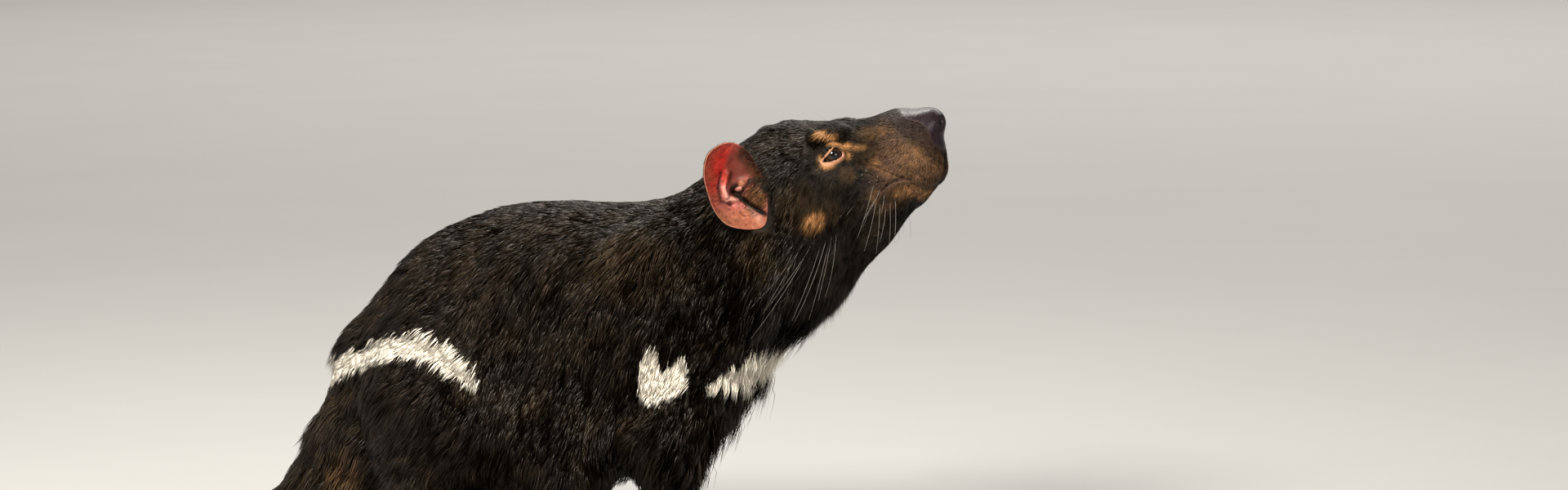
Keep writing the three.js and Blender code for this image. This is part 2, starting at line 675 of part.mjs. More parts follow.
// The ear's cup, and the room in front of its mouth that the head leaves free
function ear(side) {
  const out = new THREE.Vector3(Math.cos(rad(EAR.facing)), side * Math.sin(rad(EAR.facing)), 0);
  const back = new THREE.Vector3(-Math.sin(rad(EAR.facing)), side * Math.cos(rad(EAR.facing)), 0);
  const centre = new THREE.Vector3(...shifted(EAR.at, side));
  const rim = new THREE.CatmullRomCurve3(EAR_RIM.map(([h, v]) => new THREE.Vector3(h, v, 0)), true);
  const around = rim.getSpacedPoints(20).slice(0, 20);
  const ring = (s, lift) => around.map((point) => centre.clone()
    .addScaledVector(back, EAR.canal[0] + (point.x - EAR.canal[0]) * s)
    .addScaledVector(out, lift)
    .add(new THREE.Vector3(0, 0, EAR.canal[1] + (point.y - EAR.canal[1]) * s))
    .toArray());
  const bowl = (s) => -EAR.cup * (1 - s * s);
  const thickness = (s) => EAR.rim + (EAR.wall - EAR.rim) * (1 - s);
  const stations = [0.14, 0.42, 0.74, 1];
  const inside = stations.map((s) => ring(s, bowl(s)));
  const outside = [...stations].reverse().map((s) => ring(s, bowl(s) - thickness(s)));
  const collar = [ring(EAR_COLLAR, -EAR.rim - 2 * GAP), ring(EAR_COLLAR, EAR_MOUTH_REACH)];
  return {
    cup: toSolid(ringMesh([...inside, ...outside])),
    mouth: toSolid(ringMesh([...inside.slice(0, -1), ...collar])),
  };
}

for (const [name, side] of Object.entries(SIDES)) {
  const centre = shifted(EYE, side);
  solids.head = solids.head
    .add(ball(centre, EYE_RADIUS + LID_THICKNESS, 18, 12))
    .subtract(ball(centre, EYE_RADIUS + GAP))
    .subtract(eyeSlit(centre, side));
  solids[`eye_${name}`] = ball(centre, EYE_RADIUS, 14, 8);
  solids.nose_pad = solids.nose_pad.subtract(ellipsoid(onSide(NOSTRIL, side)));
}
solids.head = solids.head.subtract(mouthGroove());
solids.nose_pad = largestPiece(solids.nose_pad);

for (const [name, side] of Object.entries(SIDES)) {
  const { cup, mouth } = ear(side);
  const room = grown(cup).add(mouth);
  solids.head = solids.head.subtract(room);
  solids.neck = solids.neck.subtract(room);
  solids[`ear_${name}`] = cup;
}
solids.head = largestPiece(solids.head);
solids.neck = largestPiece(solids.neck);

// Claws: blunt and curved, rooted in the end of each toe, clear of the floor

function claw([, knuckle, tip], length, girth) {
  const start = new THREE.Vector3(...tip);
  const along = start.clone().sub(new THREE.Vector3(...knuckle)).setZ(0).normalize();
  const side = new THREE.Vector3(0, 0, 1).cross(along);
  const stations = [0, 0.35, 0.7, 1];
  const rings = stations.map((t) => {
    const reach = 1 + (length + 2) * t;
    const height = start.z + 3.2 + 1.6 * Math.sin(Math.PI * t * 0.8) - (start.z + 1) * t * t;
    const r = girth * (1 - 0.82 * t ** 1.5);
    return Array.from({ length: 5 }, (_, n) => {
      const turn = (2 * Math.PI * n) / 5;
      return start.clone().setZ(height)
        .addScaledVector(along, reach)
        .addScaledVector(side, -0.72 * r * Math.sin(turn))
        .add(new THREE.Vector3(0, 0, r * Math.cos(turn)))
        .toArray();
    });
  });
  return toSolid(ringMesh(rings));
}

const FEET = [
  { foot: 'forefoot', toes: 'foreToes', word: 'fore', length: 13, girth: 2.9 },
  { foot: 'hindfoot', toes: 'hindToes', word: 'hind', length: 10, girth: 2.8 },
];
for (const { foot, toes, word, length, girth } of FEET) {
  for (const [sideName, leg] of Object.entries(LEGS)) {
    const footGrown = grown(solids[`${foot}_${sideName}`]);
    leg[toes].forEach((line, n) => {
      solids[`claw_${word}_${sideName}_${n + 1}`] = largestPiece(claw(line, length, girth).subtract(footGrown));
    });
  }
}

// Materials and scene

const COAT = new THREE.MeshStandardMaterial({ name: 'coat', color: 0x17130f, roughness: 0.75, metalness: 0 });
const SKIN = new THREE.MeshStandardMaterial({ name: 'ear_skin', color: 0xb0574c, roughness: 0.55, metalness: 0 });
const NOSE_SKIN = new THREE.MeshStandardMaterial({ name: 'nose_skin', color: 0x241c20, roughness: 0.35, metalness: 0 });
const EYE_GLOSS = new THREE.MeshStandardMaterial({ name: 'eye', color: 0x0b0706, roughness: 0.08, metalness: 0 });
const HORN = new THREE.MeshStandardMaterial({ name: 'claw', color: 0xb7a892, roughness: 0.45, metalness: 0 });

function materialFor(name) {
  if (name.startsWith('ear')) return SKIN;
  if (name.startsWith('eye')) return EYE_GLOSS;
  if (name.startsWith('claw')) return HORN;
  return name === 'nose_pad' ? NOSE_SKIN : COAT;
}

const group = new THREE.Group();
for (const [name, solid] of Object.entries(solids)) {
  const { vertProperties, triVerts } = welded(solid).getMesh();
  const geometry = new THREE.BufferGeometry();
  geometry.setAttribute('position', new THREE.BufferAttribute(new Float32Array(vertProperties), 3));
  geometry.setIndex(new THREE.BufferAttribute(new Uint32Array(triVerts), 1));
  const mesh = new THREE.Mesh(geometry, materialFor(name));
  mesh.name = name;
  group.add(mesh);
}

// The origin goes to the middle of the model's box, at the floor
const box = new THREE.Box3().setFromObject(group);
const middle = box.getCenter(new THREE.Vector3());
group.position.set(-middle.x, -middle.y, -box.min.z);

export default group;
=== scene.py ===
# A Tasmanian devil at life size: skin, coat, ears, eyes, claws and whiskers over the frame.
# Shapes are worked out in millimetres in the animal's own axes (X forward, Y to its left,
# Z up) and set into the frame, in metres, when a mesh is made.

import math

import bpy
import numpy as np
import openvdb
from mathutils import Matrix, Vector
from mathutils.kdtree import KDTree


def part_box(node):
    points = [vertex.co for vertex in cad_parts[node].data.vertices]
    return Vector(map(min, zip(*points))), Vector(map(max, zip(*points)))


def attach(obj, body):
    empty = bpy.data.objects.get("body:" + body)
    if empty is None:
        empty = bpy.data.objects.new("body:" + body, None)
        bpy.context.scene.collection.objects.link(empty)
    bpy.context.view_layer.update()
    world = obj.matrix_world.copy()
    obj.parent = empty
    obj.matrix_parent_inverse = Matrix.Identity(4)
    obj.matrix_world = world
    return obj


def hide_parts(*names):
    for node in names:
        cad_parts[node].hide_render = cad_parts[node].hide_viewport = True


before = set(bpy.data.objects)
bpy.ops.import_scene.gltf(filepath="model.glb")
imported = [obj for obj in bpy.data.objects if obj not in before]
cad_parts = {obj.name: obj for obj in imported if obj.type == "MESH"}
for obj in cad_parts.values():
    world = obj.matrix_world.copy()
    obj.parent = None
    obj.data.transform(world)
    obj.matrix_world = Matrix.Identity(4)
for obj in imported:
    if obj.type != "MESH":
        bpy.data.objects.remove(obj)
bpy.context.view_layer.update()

RIGHT, LEFT = -1, 1
SIDES = {"right": RIGHT, "left": LEFT}
MM = 0.001


# Vector helpers

def vec(*values):
    return np.array(values, float)


UP = vec(0, 0, 1)


def length(v):
    return np.sqrt(np.einsum("...i,...i->...", v, v))


def unit(v):
    return v / np.maximum(length(v), 1e-9)[..., None]


def ease(value, low, high):
    """0 below low, 1 above high, smooth between; low may be the larger."""
    t = np.clip((value - low) / (high - low), 0, 1)
    return t * t * (3 - 2 * t)


def toward(a, b, share):
    """a where share is 0 and b where it is 1."""
    return a + (b - a) * share


def out_of(p, at, r):
    """How far from an ellipsoid's middle each place lies: 1 on its surface."""
    return length((p - vec(*at)) / vec(*r))


def mirrored(p):
    return np.stack([p[:, 0], np.abs(p[:, 1]), p[:, 2]], 1)


def on_side(side):
    """Multiplies a vector of the left half into one of the given side."""
    return vec(1, side, 1)


def lattice(*lines):
    return np.stack(np.meshgrid(*lines, indexing="ij"), -1)


# The left eye, shared by the skin, the lids and the eyes
EYE = vec(232, 32, 326)
EYE_RADIUS = 7.0

# The animal's own origin, seen from the frame's
eye_low, eye_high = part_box("eye_right")
SHIFT = np.array((eye_low + eye_high) / 2) / MM - EYE * on_side(RIGHT)


def ripple(p, size, seed, waves=7):
    """A smooth random field from -1 to 1 whose swells are about size across."""
    rng = np.random.default_rng(seed)
    turn = unit(rng.normal(size=(waves, 3))) * (2 * math.pi / size)
    turn = turn * rng.uniform(0.6, 1.5, (waves, 1))
    start = rng.uniform(0, 2 * math.pi, waves)
    return np.sin(p @ turn.T + start).sum(1) / math.sqrt(waves) / 1.6


# Distance fields, the same forms and sizes as the solids

def taper(p, a, b, ra, rb, wide=1.0):
    scale = vec(1, wide, 1)
    q = (p - vec(*a)) / scale
    line = (vec(*b) - vec(*a)) / scale
    t = np.clip(q @ line / (line @ line), 0, 1)
    return (length(q - t[:, None] * line) - (ra + (rb - ra) * t)) * min(1.0, wide)


def lump(p, at, r, pitch=0.0, yaw=0.0):
    cy, sy = math.cos(math.radians(yaw)), math.sin(math.radians(yaw))
    cp, sp = math.cos(math.radians(pitch)), math.sin(math.radians(pitch))
    q = p - vec(*at)
    along = q[:, 0] * cy + q[:, 1] * sy
    local = np.stack([along * cp + q[:, 2] * sp, q[:, 1] * cy - q[:, 0] * sy,
                      q[:, 2] * cp - along * sp], 1)
    r = vec(*r)
    near = length(local / r)
    slope = np.maximum(length(local / (r * r)), 1e-6)
    return near * (near - 1) / slope


def blend(a, b, soft):
    h = np.maximum(soft - np.abs(a - b), 0) / soft
    return np.minimum(a, b) - h * h * soft / 4


def carve(a, b, soft):
    return -blend(-a, b, soft)


def joined(p, forms):
    """Blends forms in turn: the softness of each join, the kind of form, its places and sizes."""
    d = None
    for soft, form, *sizes in forms:
        part = form(p, *sizes)
        d = part if d is None else blend(d, part, soft)
    return d


def chain(p, points, radii, soft):
    ends = zip(points[:-1], points[1:], radii[:-1], radii[1:])
    return joined(p, [(soft, taper, *sizes) for sizes in ends])


# The body's forms

TAIL = ((-108, 0, 150), (-130, 0, 110), (-150, 2, 73), (-183, 6, 41), (-228, 14, 23),
        (-272, 24, 12.5), (-308, 34, 6.5))
TAIL_RADII = (25, 29, 28, 26, 24, 14, 7)
LEFT_FORELEG_BACK = -30
LEFT_HINDLEG_BACK = -10
FORE_TOES = {"angle": (-22, -8, 6, 20, 42), "reach": (23, 27, 27, 24, 17), "apart": 6, "girth": 6.2}
HIND_TOES = {"angle": (-14, -4, 7, 18), "reach": (26, 30, 29, 24), "apart": 6.6, "girth": 6.4}
PALM = (134, 55, 11)
BALL = (-10, 65, 11)

# The trunk's loins, back, croup, chest, belly and neck: softness of the join, form, sizes
TORSO = (
    (0, lump, (-7, 0, 189), (94, 76, 91), -13),
    (40, lump, (62, 0, 208), (88, 73, 76)),
    (30, taper, (-51, 0, 190), (-92, 0, 165), 58, 50, 0.95),
    (40, lump, (111, 0, 187), (57, 58, 65), 30),
    (30, lump, (54, 0, 160), (86, 56, 62)),
    (34, taper, (112, 0, 207), (183, 0, 263), 69, 65, 0.98),
)
# Skull, snout, muzzle, nose, lips before and behind, chin, throat, cheek, cheekbone and brow
HEAD = (
    (0, lump, (192, 0, 291), (49, 53, 49), 6),
    (18, taper, (205, 0, 311), (272, 0, 329), 37, 25, 0.92),
    (12, lump, (279, 0, 325), (28, 22, 31)),
    (6, lump, (294, 0, 347), (13, 13, 12)),
    (9, lump, (284, 11, 315), (22, 14, 17), -6, 10),
    (10, taper, (284, 11, 315), (250, 24, 299), 13, 20),
    (10, taper, (279, 0, 300), (240, 0, 279), 15, 28.5),
    (16, taper, (240, 0, 279), (179, 0, 240), 28.5, 45.5),
    (14, lump, (206, 36, 288), (42, 27, 37), -25, -12),
    (10, lump, (224, 36, 306), (28, 14, 12), 10, -22),
    (10, lump, (228, 24, 341), (16, 10, 8), 10, -15),
)


def toe_lines(ball, side, toes):
    lines = []
    middle = (len(toes["angle"]) - 1) / 2
    for i, (angle, reach) in enumerate(zip(toes["angle"], toes["reach"])):
        turn = math.radians(angle) * side
        root = vec(ball[0], ball[1] + side * (i - middle) * toes["apart"], 9)
        tip = root + vec(math.cos(turn) * reach, math.sin(turn) * reach, -4)
        knuckle = (root + tip) / 2 + vec(0, 0, 4)
        lines.append((root, knuckle, tip))
    return lines


def with_toes(p, d, lines, girth):
    for line in lines:
        d = blend(d, chain(p, line, (girth + 1, girth, girth - 0.8), 3), 4)
    return d


class Leg:
    """The fore and hind leg of one side, each as a distance field."""

    def __init__(self, side, fore_back, hind_back):
        self.side = side
        self.fore_back = fore_back
        self.palm = (PALM[0] + fore_back, side * PALM[1], PALM[2])
        self.ball = (BALL[0] + hind_back, side * BALL[1], BALL[2])
        self.knee = (50 + hind_back, side * 68, 99)
        self.hock = (-67 + hind_back, side * 54, 84)
        self.heel = (-72 + hind_back, side * 60, 32)
        self.fore_toes = toe_lines(self.palm, side, FORE_TOES)
        self.hind_toes = toe_lines(self.ball, side, HIND_TOES)

    def arm(self, p):
        s, half = self.side, self.fore_back / 2
        return joined(p, ((0, lump, (100, s * 50, 222), (46, 26, 60), -18, s * -8),
                          (26, taper, (140, s * 44, 178), (120 + half, s * 57, 128), 37, 31, 0.9)))

    def fore(self, p):
        s, back = self.side, self.fore_back
        elbow, wrist = (115 + back / 2, s * 57, 124), (124 + back, s * 54, 36)
        d = joined(p, ((0, taper, elbow, wrist, 28.5, 15, 0.9),
                       (12, taper, (124 + back, s * 54, 28), self.palm, 15, 13.5, 1.12)))
        return with_toes(p, d, self.fore_toes, FORE_TOES["girth"])

    def thigh(self, p):
        s = self.side
        return joined(p, ((0, lump, (-37, s * 46, 150), (66, 38, 64), -12),
                          (26, taper, (-36, s * 50, 146), self.knee, 50, 28, 0.86),
                          (24, taper, (-56, s * 46, 136), self.hock, 44, 33, 0.8),
                          (20, taper, self.knee, (44, s * 46, 166), 27, 36, 0.8)))

    def hind(self, p):
        sole = (self.heel[0] - 2, self.heel[1], 15)
        d = joined(p, ((0, taper, self.knee, self.heel, 27, 16, 0.9),
                       (14, taper, sole, self.ball, 14.5, 13, 1.1)))
        return with_toes(p, d, self.hind_toes, HIND_TOES["girth"])


LEGS = {"right": Leg(RIGHT, 0, 0), "left": Leg(LEFT, LEFT_FORELEG_BACK, LEFT_HINDLEG_BACK)}


def tail_form(p):
    return chain(p, TAIL, TAIL_RADII, 22)


def body_form(p):
    q = mirrored(p)
    d = blend(joined(q, TORSO), joined(q, HEAD), 16)
    for leg in LEGS.values():
        for form, soft in ((leg.arm, 16), (leg.fore, 12), (leg.thigh, 24), (leg.hind, 9)):
            d = blend(d, form(p), soft)
    return blend(d, tail_form(p), 32)


def from_eye(q):
    return length(q - EYE)


def coat_depth(p):
    """How far the skin lies inside the tips of the coat: less on the face, legs and feet."""
    x, _, z = p.T
    q = mirrored(p)
    spine_height = np.interp(x, (-110, 0, 120, 180), (150, 190, 205, 265))
    deep = np.interp(x, (-176, -158, -140, -100, -40), (6.5, 4.8, 4.4, 5.0, 5.0))
    deep = deep - 2.0 * ease(z - spine_height, 35, 65) * ease(x, -50, 0)
    deep = deep + 2.4 * ease(out_of(q, (168, 0, 140), (56, 60, 80)), 1.2, 0.8)
    deep = toward(deep, 2.6, ease(x, 196, 226))
    deep = toward(deep, 1.0, ease(x, 240, 268))
    deep = toward(deep, 1.2, ease(from_eye(q), 20, 11))
    deep = toward(deep, 3.6, ease(z, 110, 60) * ease(x, -118, -96))
    return toward(deep, 0.6, ease(z, 34, 18) * ease(x, -118, -100))


# Ears: a cup whose rim is a closed curve in its own plane, as distance back and distance up
# from its middle, with the canal low and forward

EAR_AT = vec(171, 66, 306)
EAR_FACING = math.radians(57)
EAR_RIM = ((-22.4, -8.2), (-20.5, 2), (-14.5, 14), (-7.5, 24.5), (2, 30.5), (12, 30), (22, 22.5),
           (24.5, 9), (21.5, -4), (16.5, -16.5), (7, -26.5), (-8.5, -30), (-20.5, -27))
EAR_CANAL = vec(-3, -5)
EAR_CUP = 14
EAR_RIM_WALL = 1.8
EAR_WALL = 4.2
EAR_OUT = vec(math.cos(EAR_FACING), math.sin(EAR_FACING), 0)
EAR_BACK = vec(-math.sin(EAR_FACING), math.cos(EAR_FACING), 0)


def closed_curve(corners, steps):
    """Points along a smooth closed curve through the corners."""
    c = np.array(corners, float)
    before, after, beyond = np.roll(c, 1, 0), np.roll(c, -1, 0), np.roll(c, -2, 0)
    t = (np.arange(steps) / steps)[None, :, None]
    a, b, d, e = (v[:, None] for v in (before, c, after, beyond))
    curve = b + 0.5 * t * (d - a + t * (2 * a - 5 * b + 4 * d - e + t * (3 * (b - d) + e - a)))
    return curve.reshape(-1, 2)


rim_curve = closed_curve(EAR_RIM, 12) - EAR_CANAL
rim_turn = np.arctan2(rim_curve[:, 1], rim_curve[:, 0])
rim_order = np.argsort(rim_turn)
RIM_TURN, RIM_REACH = rim_turn[rim_order], length(rim_curve)[rim_order]


def rim_reach(turn):
    return np.interp(turn, RIM_TURN, RIM_REACH, period=2 * math.pi)


def ear_bowl(s):
    return -EAR_CUP * (1 - s * s)


def ear_place(q):
    """Share of the way from the canal to the rim, and the height over the cup's inner face."""
    local = q - EAR_AT
    back = local @ EAR_BACK - EAR_CANAL[0]
    up = local[:, 2] - EAR_CANAL[1]
    share = np.hypot(back, up) / rim_reach(np.arctan2(up, back))
    return share, local @ EAR_OUT - ear_bowl(np.minimum(share, 1.3))


# Details of the face, in the half with Y positive

MOUTH = ((303, 0, 301), (300, 9, 302.5), (296, 17, 305), (289, 23, 309), (281, 27.5, 310.5),
         (273, 31, 307.5), (266, 34, 302), (260, 36, 295))
NOSTRIL = ((304.5, 5.5, 349), (305.5, 7.5, 345), (301, 11.5, 344))
PHILTRUM = ((306, 0, 338), (306.5, 0, 322), (304, 0, 305))
# Each line cut into the face, its radii and the softness of its edges
FACE_LINES = (
    (MOUTH, (0.5, 0.5, 0.6, 0.7, 0.7, 0.7, 0.5, 0.2), 2.0),
    (PHILTRUM, (0.8, 1.0, 1.0), 1.6),
    (NOSTRIL, (2.6, 3.0, 1.0), 1.4),
)
GAZE = unit(vec(0.34, 0.93, 0.10))
SLIT_ALONG = unit(np.cross(GAZE, UP))
SLIT_UP = np.cross(SLIT_ALONG, GAZE)
SLIT_TILT = math.radians(19.5)
SLIT_MIDDLE = (-1.7, -1.5)
SLIT_HALF = 7.3
UPPER_LID = ((-7.3, 3.0, 5.6, 7.3), (0, 6.0, 5.0, 0))
LOWER_LID_SAG = 1.3


def eye_axes(q):
    """Along the lids, up and out of the eye, for points on the Y positive side."""
    local = q - EYE
    a, b, c = local @ SLIT_ALONG, local @ SLIT_UP, local @ GAZE
    ct, st = math.cos(SLIT_TILT), math.sin(SLIT_TILT)
    return a * ct + b * st - SLIT_MIDDLE[0], b * ct - a * st - SLIT_MIDDLE[1], c


def slit_edges(along, up):
    """How far a place lies above the upper lid's edge and below the lower lid's."""
    sag = LOWER_LID_SAG * np.maximum(1 - (along / SLIT_HALF) ** 2, 0)
    beyond = np.maximum(np.abs(along) - SLIT_HALF, 0)
    return up - np.interp(along, *UPPER_LID) + beyond, -sag - up + beyond


def lids(q, d):
    """Lids close round the eyeball, with a slanted opening in front."""
    along, up, out = eye_axes(q)
    round_eye = from_eye(q)
    d = blend(d, round_eye - (EYE_RADIUS + 1.5), 4)
    over, under = slit_edges(along, up)
    fold = np.abs(over - 2.8) + 2.0 * ease(along, -3.0, -6.5)
    d = d + 1.0 * ease(fold, 1.2, 0.1) * ease(out, 1.0, 3.0)
    pouch = np.abs(under - 4.2) + 1.5 * ease(np.abs(along), 4, 8)
    d = d + 0.7 * ease(pouch, 1.3, 0.1) * ease(out, 0.5, 2.5)
    gap = np.maximum(np.maximum(over, under) * 0.8, 1.0 - out)
    d = carve(d, gap, 1.0)
    return carve(d, round_eye - (EYE_RADIUS + 0.1), 0.3)


def skin_form(p):
    q = mirrored(p)
    d = body_form(p) + coat_depth(p)
    x, y, z = q.T
    near = (x > 205) & (z > 262)
    if near.any():
        face = q[near]
        d[near] = lids(face, d[near])
        for line, radii, soft in FACE_LINES:
            d[near] = carve(d[near], chain(face, line, radii, 1), soft)
    by_ear = (x > 130) & (x < 222) & (y > 24) & (z > 262)
    if by_ear.any():
        share, above = ear_place(q[by_ear])
        room = np.maximum((share - 1) * 25, -1.2 - above)
        d[by_ear] = carve(d[by_ear], room, 1.5)
    return np.maximum(d, -p[:, 2])


# Meshing a field: a graded grid, evaluated only near the surface

BLOCK = 8


def graded(low, high, step):
    line = [low]
    while line[-1] < high or len(line) % BLOCK:
        line.append(line[-1] + step(line[-1]))
    return np.array(line)


def sample(field, lines):
    parts = [line.reshape(-1, BLOCK) for line in lines]
    spans = lattice(*[c[:, -1] - c[:, 0] for c in parts])
    coarse = field(lattice(*[c.mean(1) for c in parts]).reshape(-1, 3))
    active = np.abs(coarse) < length(spans.reshape(-1, 3)) * 0.75 + 6
    shape = [len(c) for c in parts]
    values = np.where(coarse > 0, 50.0, -50.0).astype(np.float32).reshape(shape)
    for axis in range(3):
        values = np.repeat(values, BLOCK, axis)
    inner = lattice(*[np.arange(BLOCK)] * 3).reshape(-1, 3)
    blocks = np.argwhere(active.reshape(shape))
    for start in range(0, len(blocks), 500):
        index = (blocks[start:start + 500, None, :] * BLOCK + inner[None]).reshape(-1, 3)
        points = np.stack([lines[k][index[:, k]] for k in range(3)], 1)
        values[index[:, 0], index[:, 1], index[:, 2]] = np.clip(field(points), -50, 50)
    return values


def field_mesh(field, lines):
    grid = openvdb.FloatGrid()
    grid.copyFromArray(np.ascontiguousarray(sample(field, lines)))
    points, quads = grid.convertToQuads(0.0)
    place = [np.interp(points[:, k], np.arange(len(lines[k])), lines[k]) for k in range(3)]
    return np.stack(place, 1), quads


def add_mesh(name, points, faces, materials):
    """faces is an array with one row for each face; points are in the animal's axes."""
    mesh = bpy.data.meshes.new(name)
    places = ((points + SHIFT) * MM).astype(np.float32)
    starts = np.arange(0, faces.size, faces.shape[1], dtype=np.int32)
    for items, count, key, values in (
        (mesh.vertices, len(points), "co", places),
        (mesh.loops, faces.size, "vertex_index", faces.astype(np.int32)),
        (mesh.polygons, len(faces), "loop_start", starts),
    ):
        items.add(count)
        items.foreach_set(key, values.ravel())
    mesh.polygons.foreach_set("use_smooth", np.full(len(faces), True))
    mesh.update(calc_edges=True)
    for material in materials:
        mesh.materials.append(material)
    piece = bpy.data.objects.new(name, mesh)
    bpy.context.scene.collection.objects.link(piece)
    return piece


def vertex_normals(mesh):
    normals = np.empty(len(mesh.vertices) * 3, np.float32)
    mesh.vertex_normals.foreach_get("vector", normals)
    return normals.reshape(-1, 3).astype(float)


def paint(piece, values, layer_name="coat"):
    """Four numbers at each vertex, read by the materials."""
    layer = piece.data.color_attributes.new(layer_name, "FLOAT_COLOR", "POINT")
    layer.data.foreach_set("color", values.astype(np.float32).ravel())


# Markings and tints, as functions of place; the strokes lie on the outside of the coat

RUMP_BAND = ((-152, 0, 152), (-146, 14, 155), (-124, 39, 167.5), (-95, 63.5, 180.5),
             (-75, 77, 186.5), (-56, 84.5, 185.5), (-41, 89, 181), (-29.5, 91, 173),
             (-19, 91, 166), (-13, 91, 160))
RUMP_HALF = (9.5, 9.5, 9, 8.6, 9, 9, 8.6, 7.2, 5, 2.5)
CHEST_BAND = ((151, 74, 160.5), (157, 71, 163), (166, 63.5, 164), (170, 50, 164), (176, 33, 163),
              (180, 15, 164), (181, 0, 164))
CHEST_HALF = (1.5, 5, 9.5, 13, 15, 14, 13)
SHOULDER_SPOT = (((111, 0, 184), (107, 0, 158), 5.5, 8), ((108, 0, 158), (127, 0, 168), 8.5, 9),
                 ((129, 0, 168), (131, 0, 176), 8, 5.5))
LEFT_SPOT_SMALLER = 2.5


def mark_distance(p):
    """Millimetres to the edge of the nearest white mark, negative inside."""
    q = mirrored(p)
    d = np.minimum(chain(q, RUMP_BAND, RUMP_HALF, 2), chain(q, CHEST_BAND, CHEST_HALF, 2))
    seen = p * vec(1, 0, 1)
    spot = np.full(len(p), 50.0)
    for a, b, ra, rb in SHOULDER_SPOT:
        spot = np.minimum(spot, taper(seen, a, b, ra, rb))
    spot = spot + np.where(p[:, 1] > 0, LEFT_SPOT_SMALLER, 0) + 50 * ease(q[:, 1], 48, 42)
    return np.minimum(d, spot) + 1.1 * ripple(p, 8, 11) + 0.7 * ripple(p, 3.5, 12)


def white_mark(p):
    return ease(mark_distance(p), 0.8, -0.8)


# Tan and brown places of the face, then of the body: middle, radii and how tan, from 0,
# black, to 1
WARM_FACE = (
    ((240, 29, 332.5), (11, 9, 5.0), 0.90),
    ((233, 33, 333.5), (6, 6, 3.0), 0.85),
    ((250, 26, 331.5), (9, 7, 4.0), 0.72),
    ((242, 29, 326), (6, 6, 5), 0.80),
    ((229, 40, 319.5), (7, 7, 3.4), 0.82),
    ((224, 35, 324), (3, 8, 5), 0.66),
    ((224.5, 34.5, 341.8), (6.5, 8, 3.2), 1.2),
    ((231, 32, 339.8), (6, 8, 2.8), 1.2),
    ((262, 19, 341), (22, 12, 9), 0.40),
    ((244, 38, 314), (10, 10, 8), 0.30),
    ((280, 20, 320), (38, 24, 26), 0.47),
    ((262, 28, 320), (9, 8, 9), 0.58),
    ((271, 30, 314), (9, 8, 8), 0.55),
    ((286, 22, 326), (22, 16, 15), 0.54),
    ((303, 15, 320), (10, 14, 14), 0.48),
    ((283, 24, 301), (18, 16, 9), 0.76),
    ((294, 12, 298), (10, 14, 8), 0.66),
    ((268, 18, 290), (18, 22, 9), 0.52),
    ((262, 36, 298), (6, 6, 8), 0.52),
    ((226, 57, 285), (11, 9, 9), 0.98),
    ((236, 52, 291), (20, 12, 14), 0.30),
    ((214, 58, 296), (22, 16, 22), 0.26),
    ((186, 62, 264), (22, 16, 22), 0.26),
    ((184, 57, 297), (5.5, 5, 9), 0.62),
)
WARM_BODY = (
    ((100, -70, 258), (60, 30, 40), 0.22),
    ((-124, -30, 92), (19, 22, 30), 0.34),
    ((30, -60, 275), (80, 40, 26), 0.16),
)
# Places of the face where the tan gives way to black
DARK_FACE = (
    ((267, 37, 309), (7, 7, 5)),
    ((281, 10, 284), (22, 16, 8)),
    ((225, 32, 337.0), (8, 7, 1.3)),
    ((243, 26, 339.5), (6, 8, 2.6)),
)


def near_place(p, at, r):
    return ease(out_of(p, at, r), 1.35, 0.3)


def warm_tint(p):
    """How tan or brown the coat is, from 0, black, to 1."""
    q = mirrored(p)
    warm = 0.13 + 0.06 * ripple(p, 30, 41)
    for places, points in ((WARM_FACE, q), (WARM_BODY, p)):
        for at, r, strength in places:
            warm = np.maximum(warm, strength * near_place(points, at, r))
    for at, r in DARK_FACE:
        warm = warm * (1 - 0.75 * near_place(q, at, r))
    return np.clip(warm, 0, 1)


def nose_leather(p):
    q = mirrored(p)
    front = (q - vec(272, 0, 358)) @ unit(vec(0.65, 0, 0.76))
    return ease(front, -1.5, 1.5) * ease(q[:, 1], 14.5, 12)


def by_nose(p):
    """1 on the dark skin round the nose pad."""
    front = (mirrored(p) - vec(268, 0, 352)) @ unit(vec(0.65, 0, 0.76))
    return ease(front, -6, 0)


# Materials: one shader each, whose inputs are fed with plain values or with other nodes' sockets

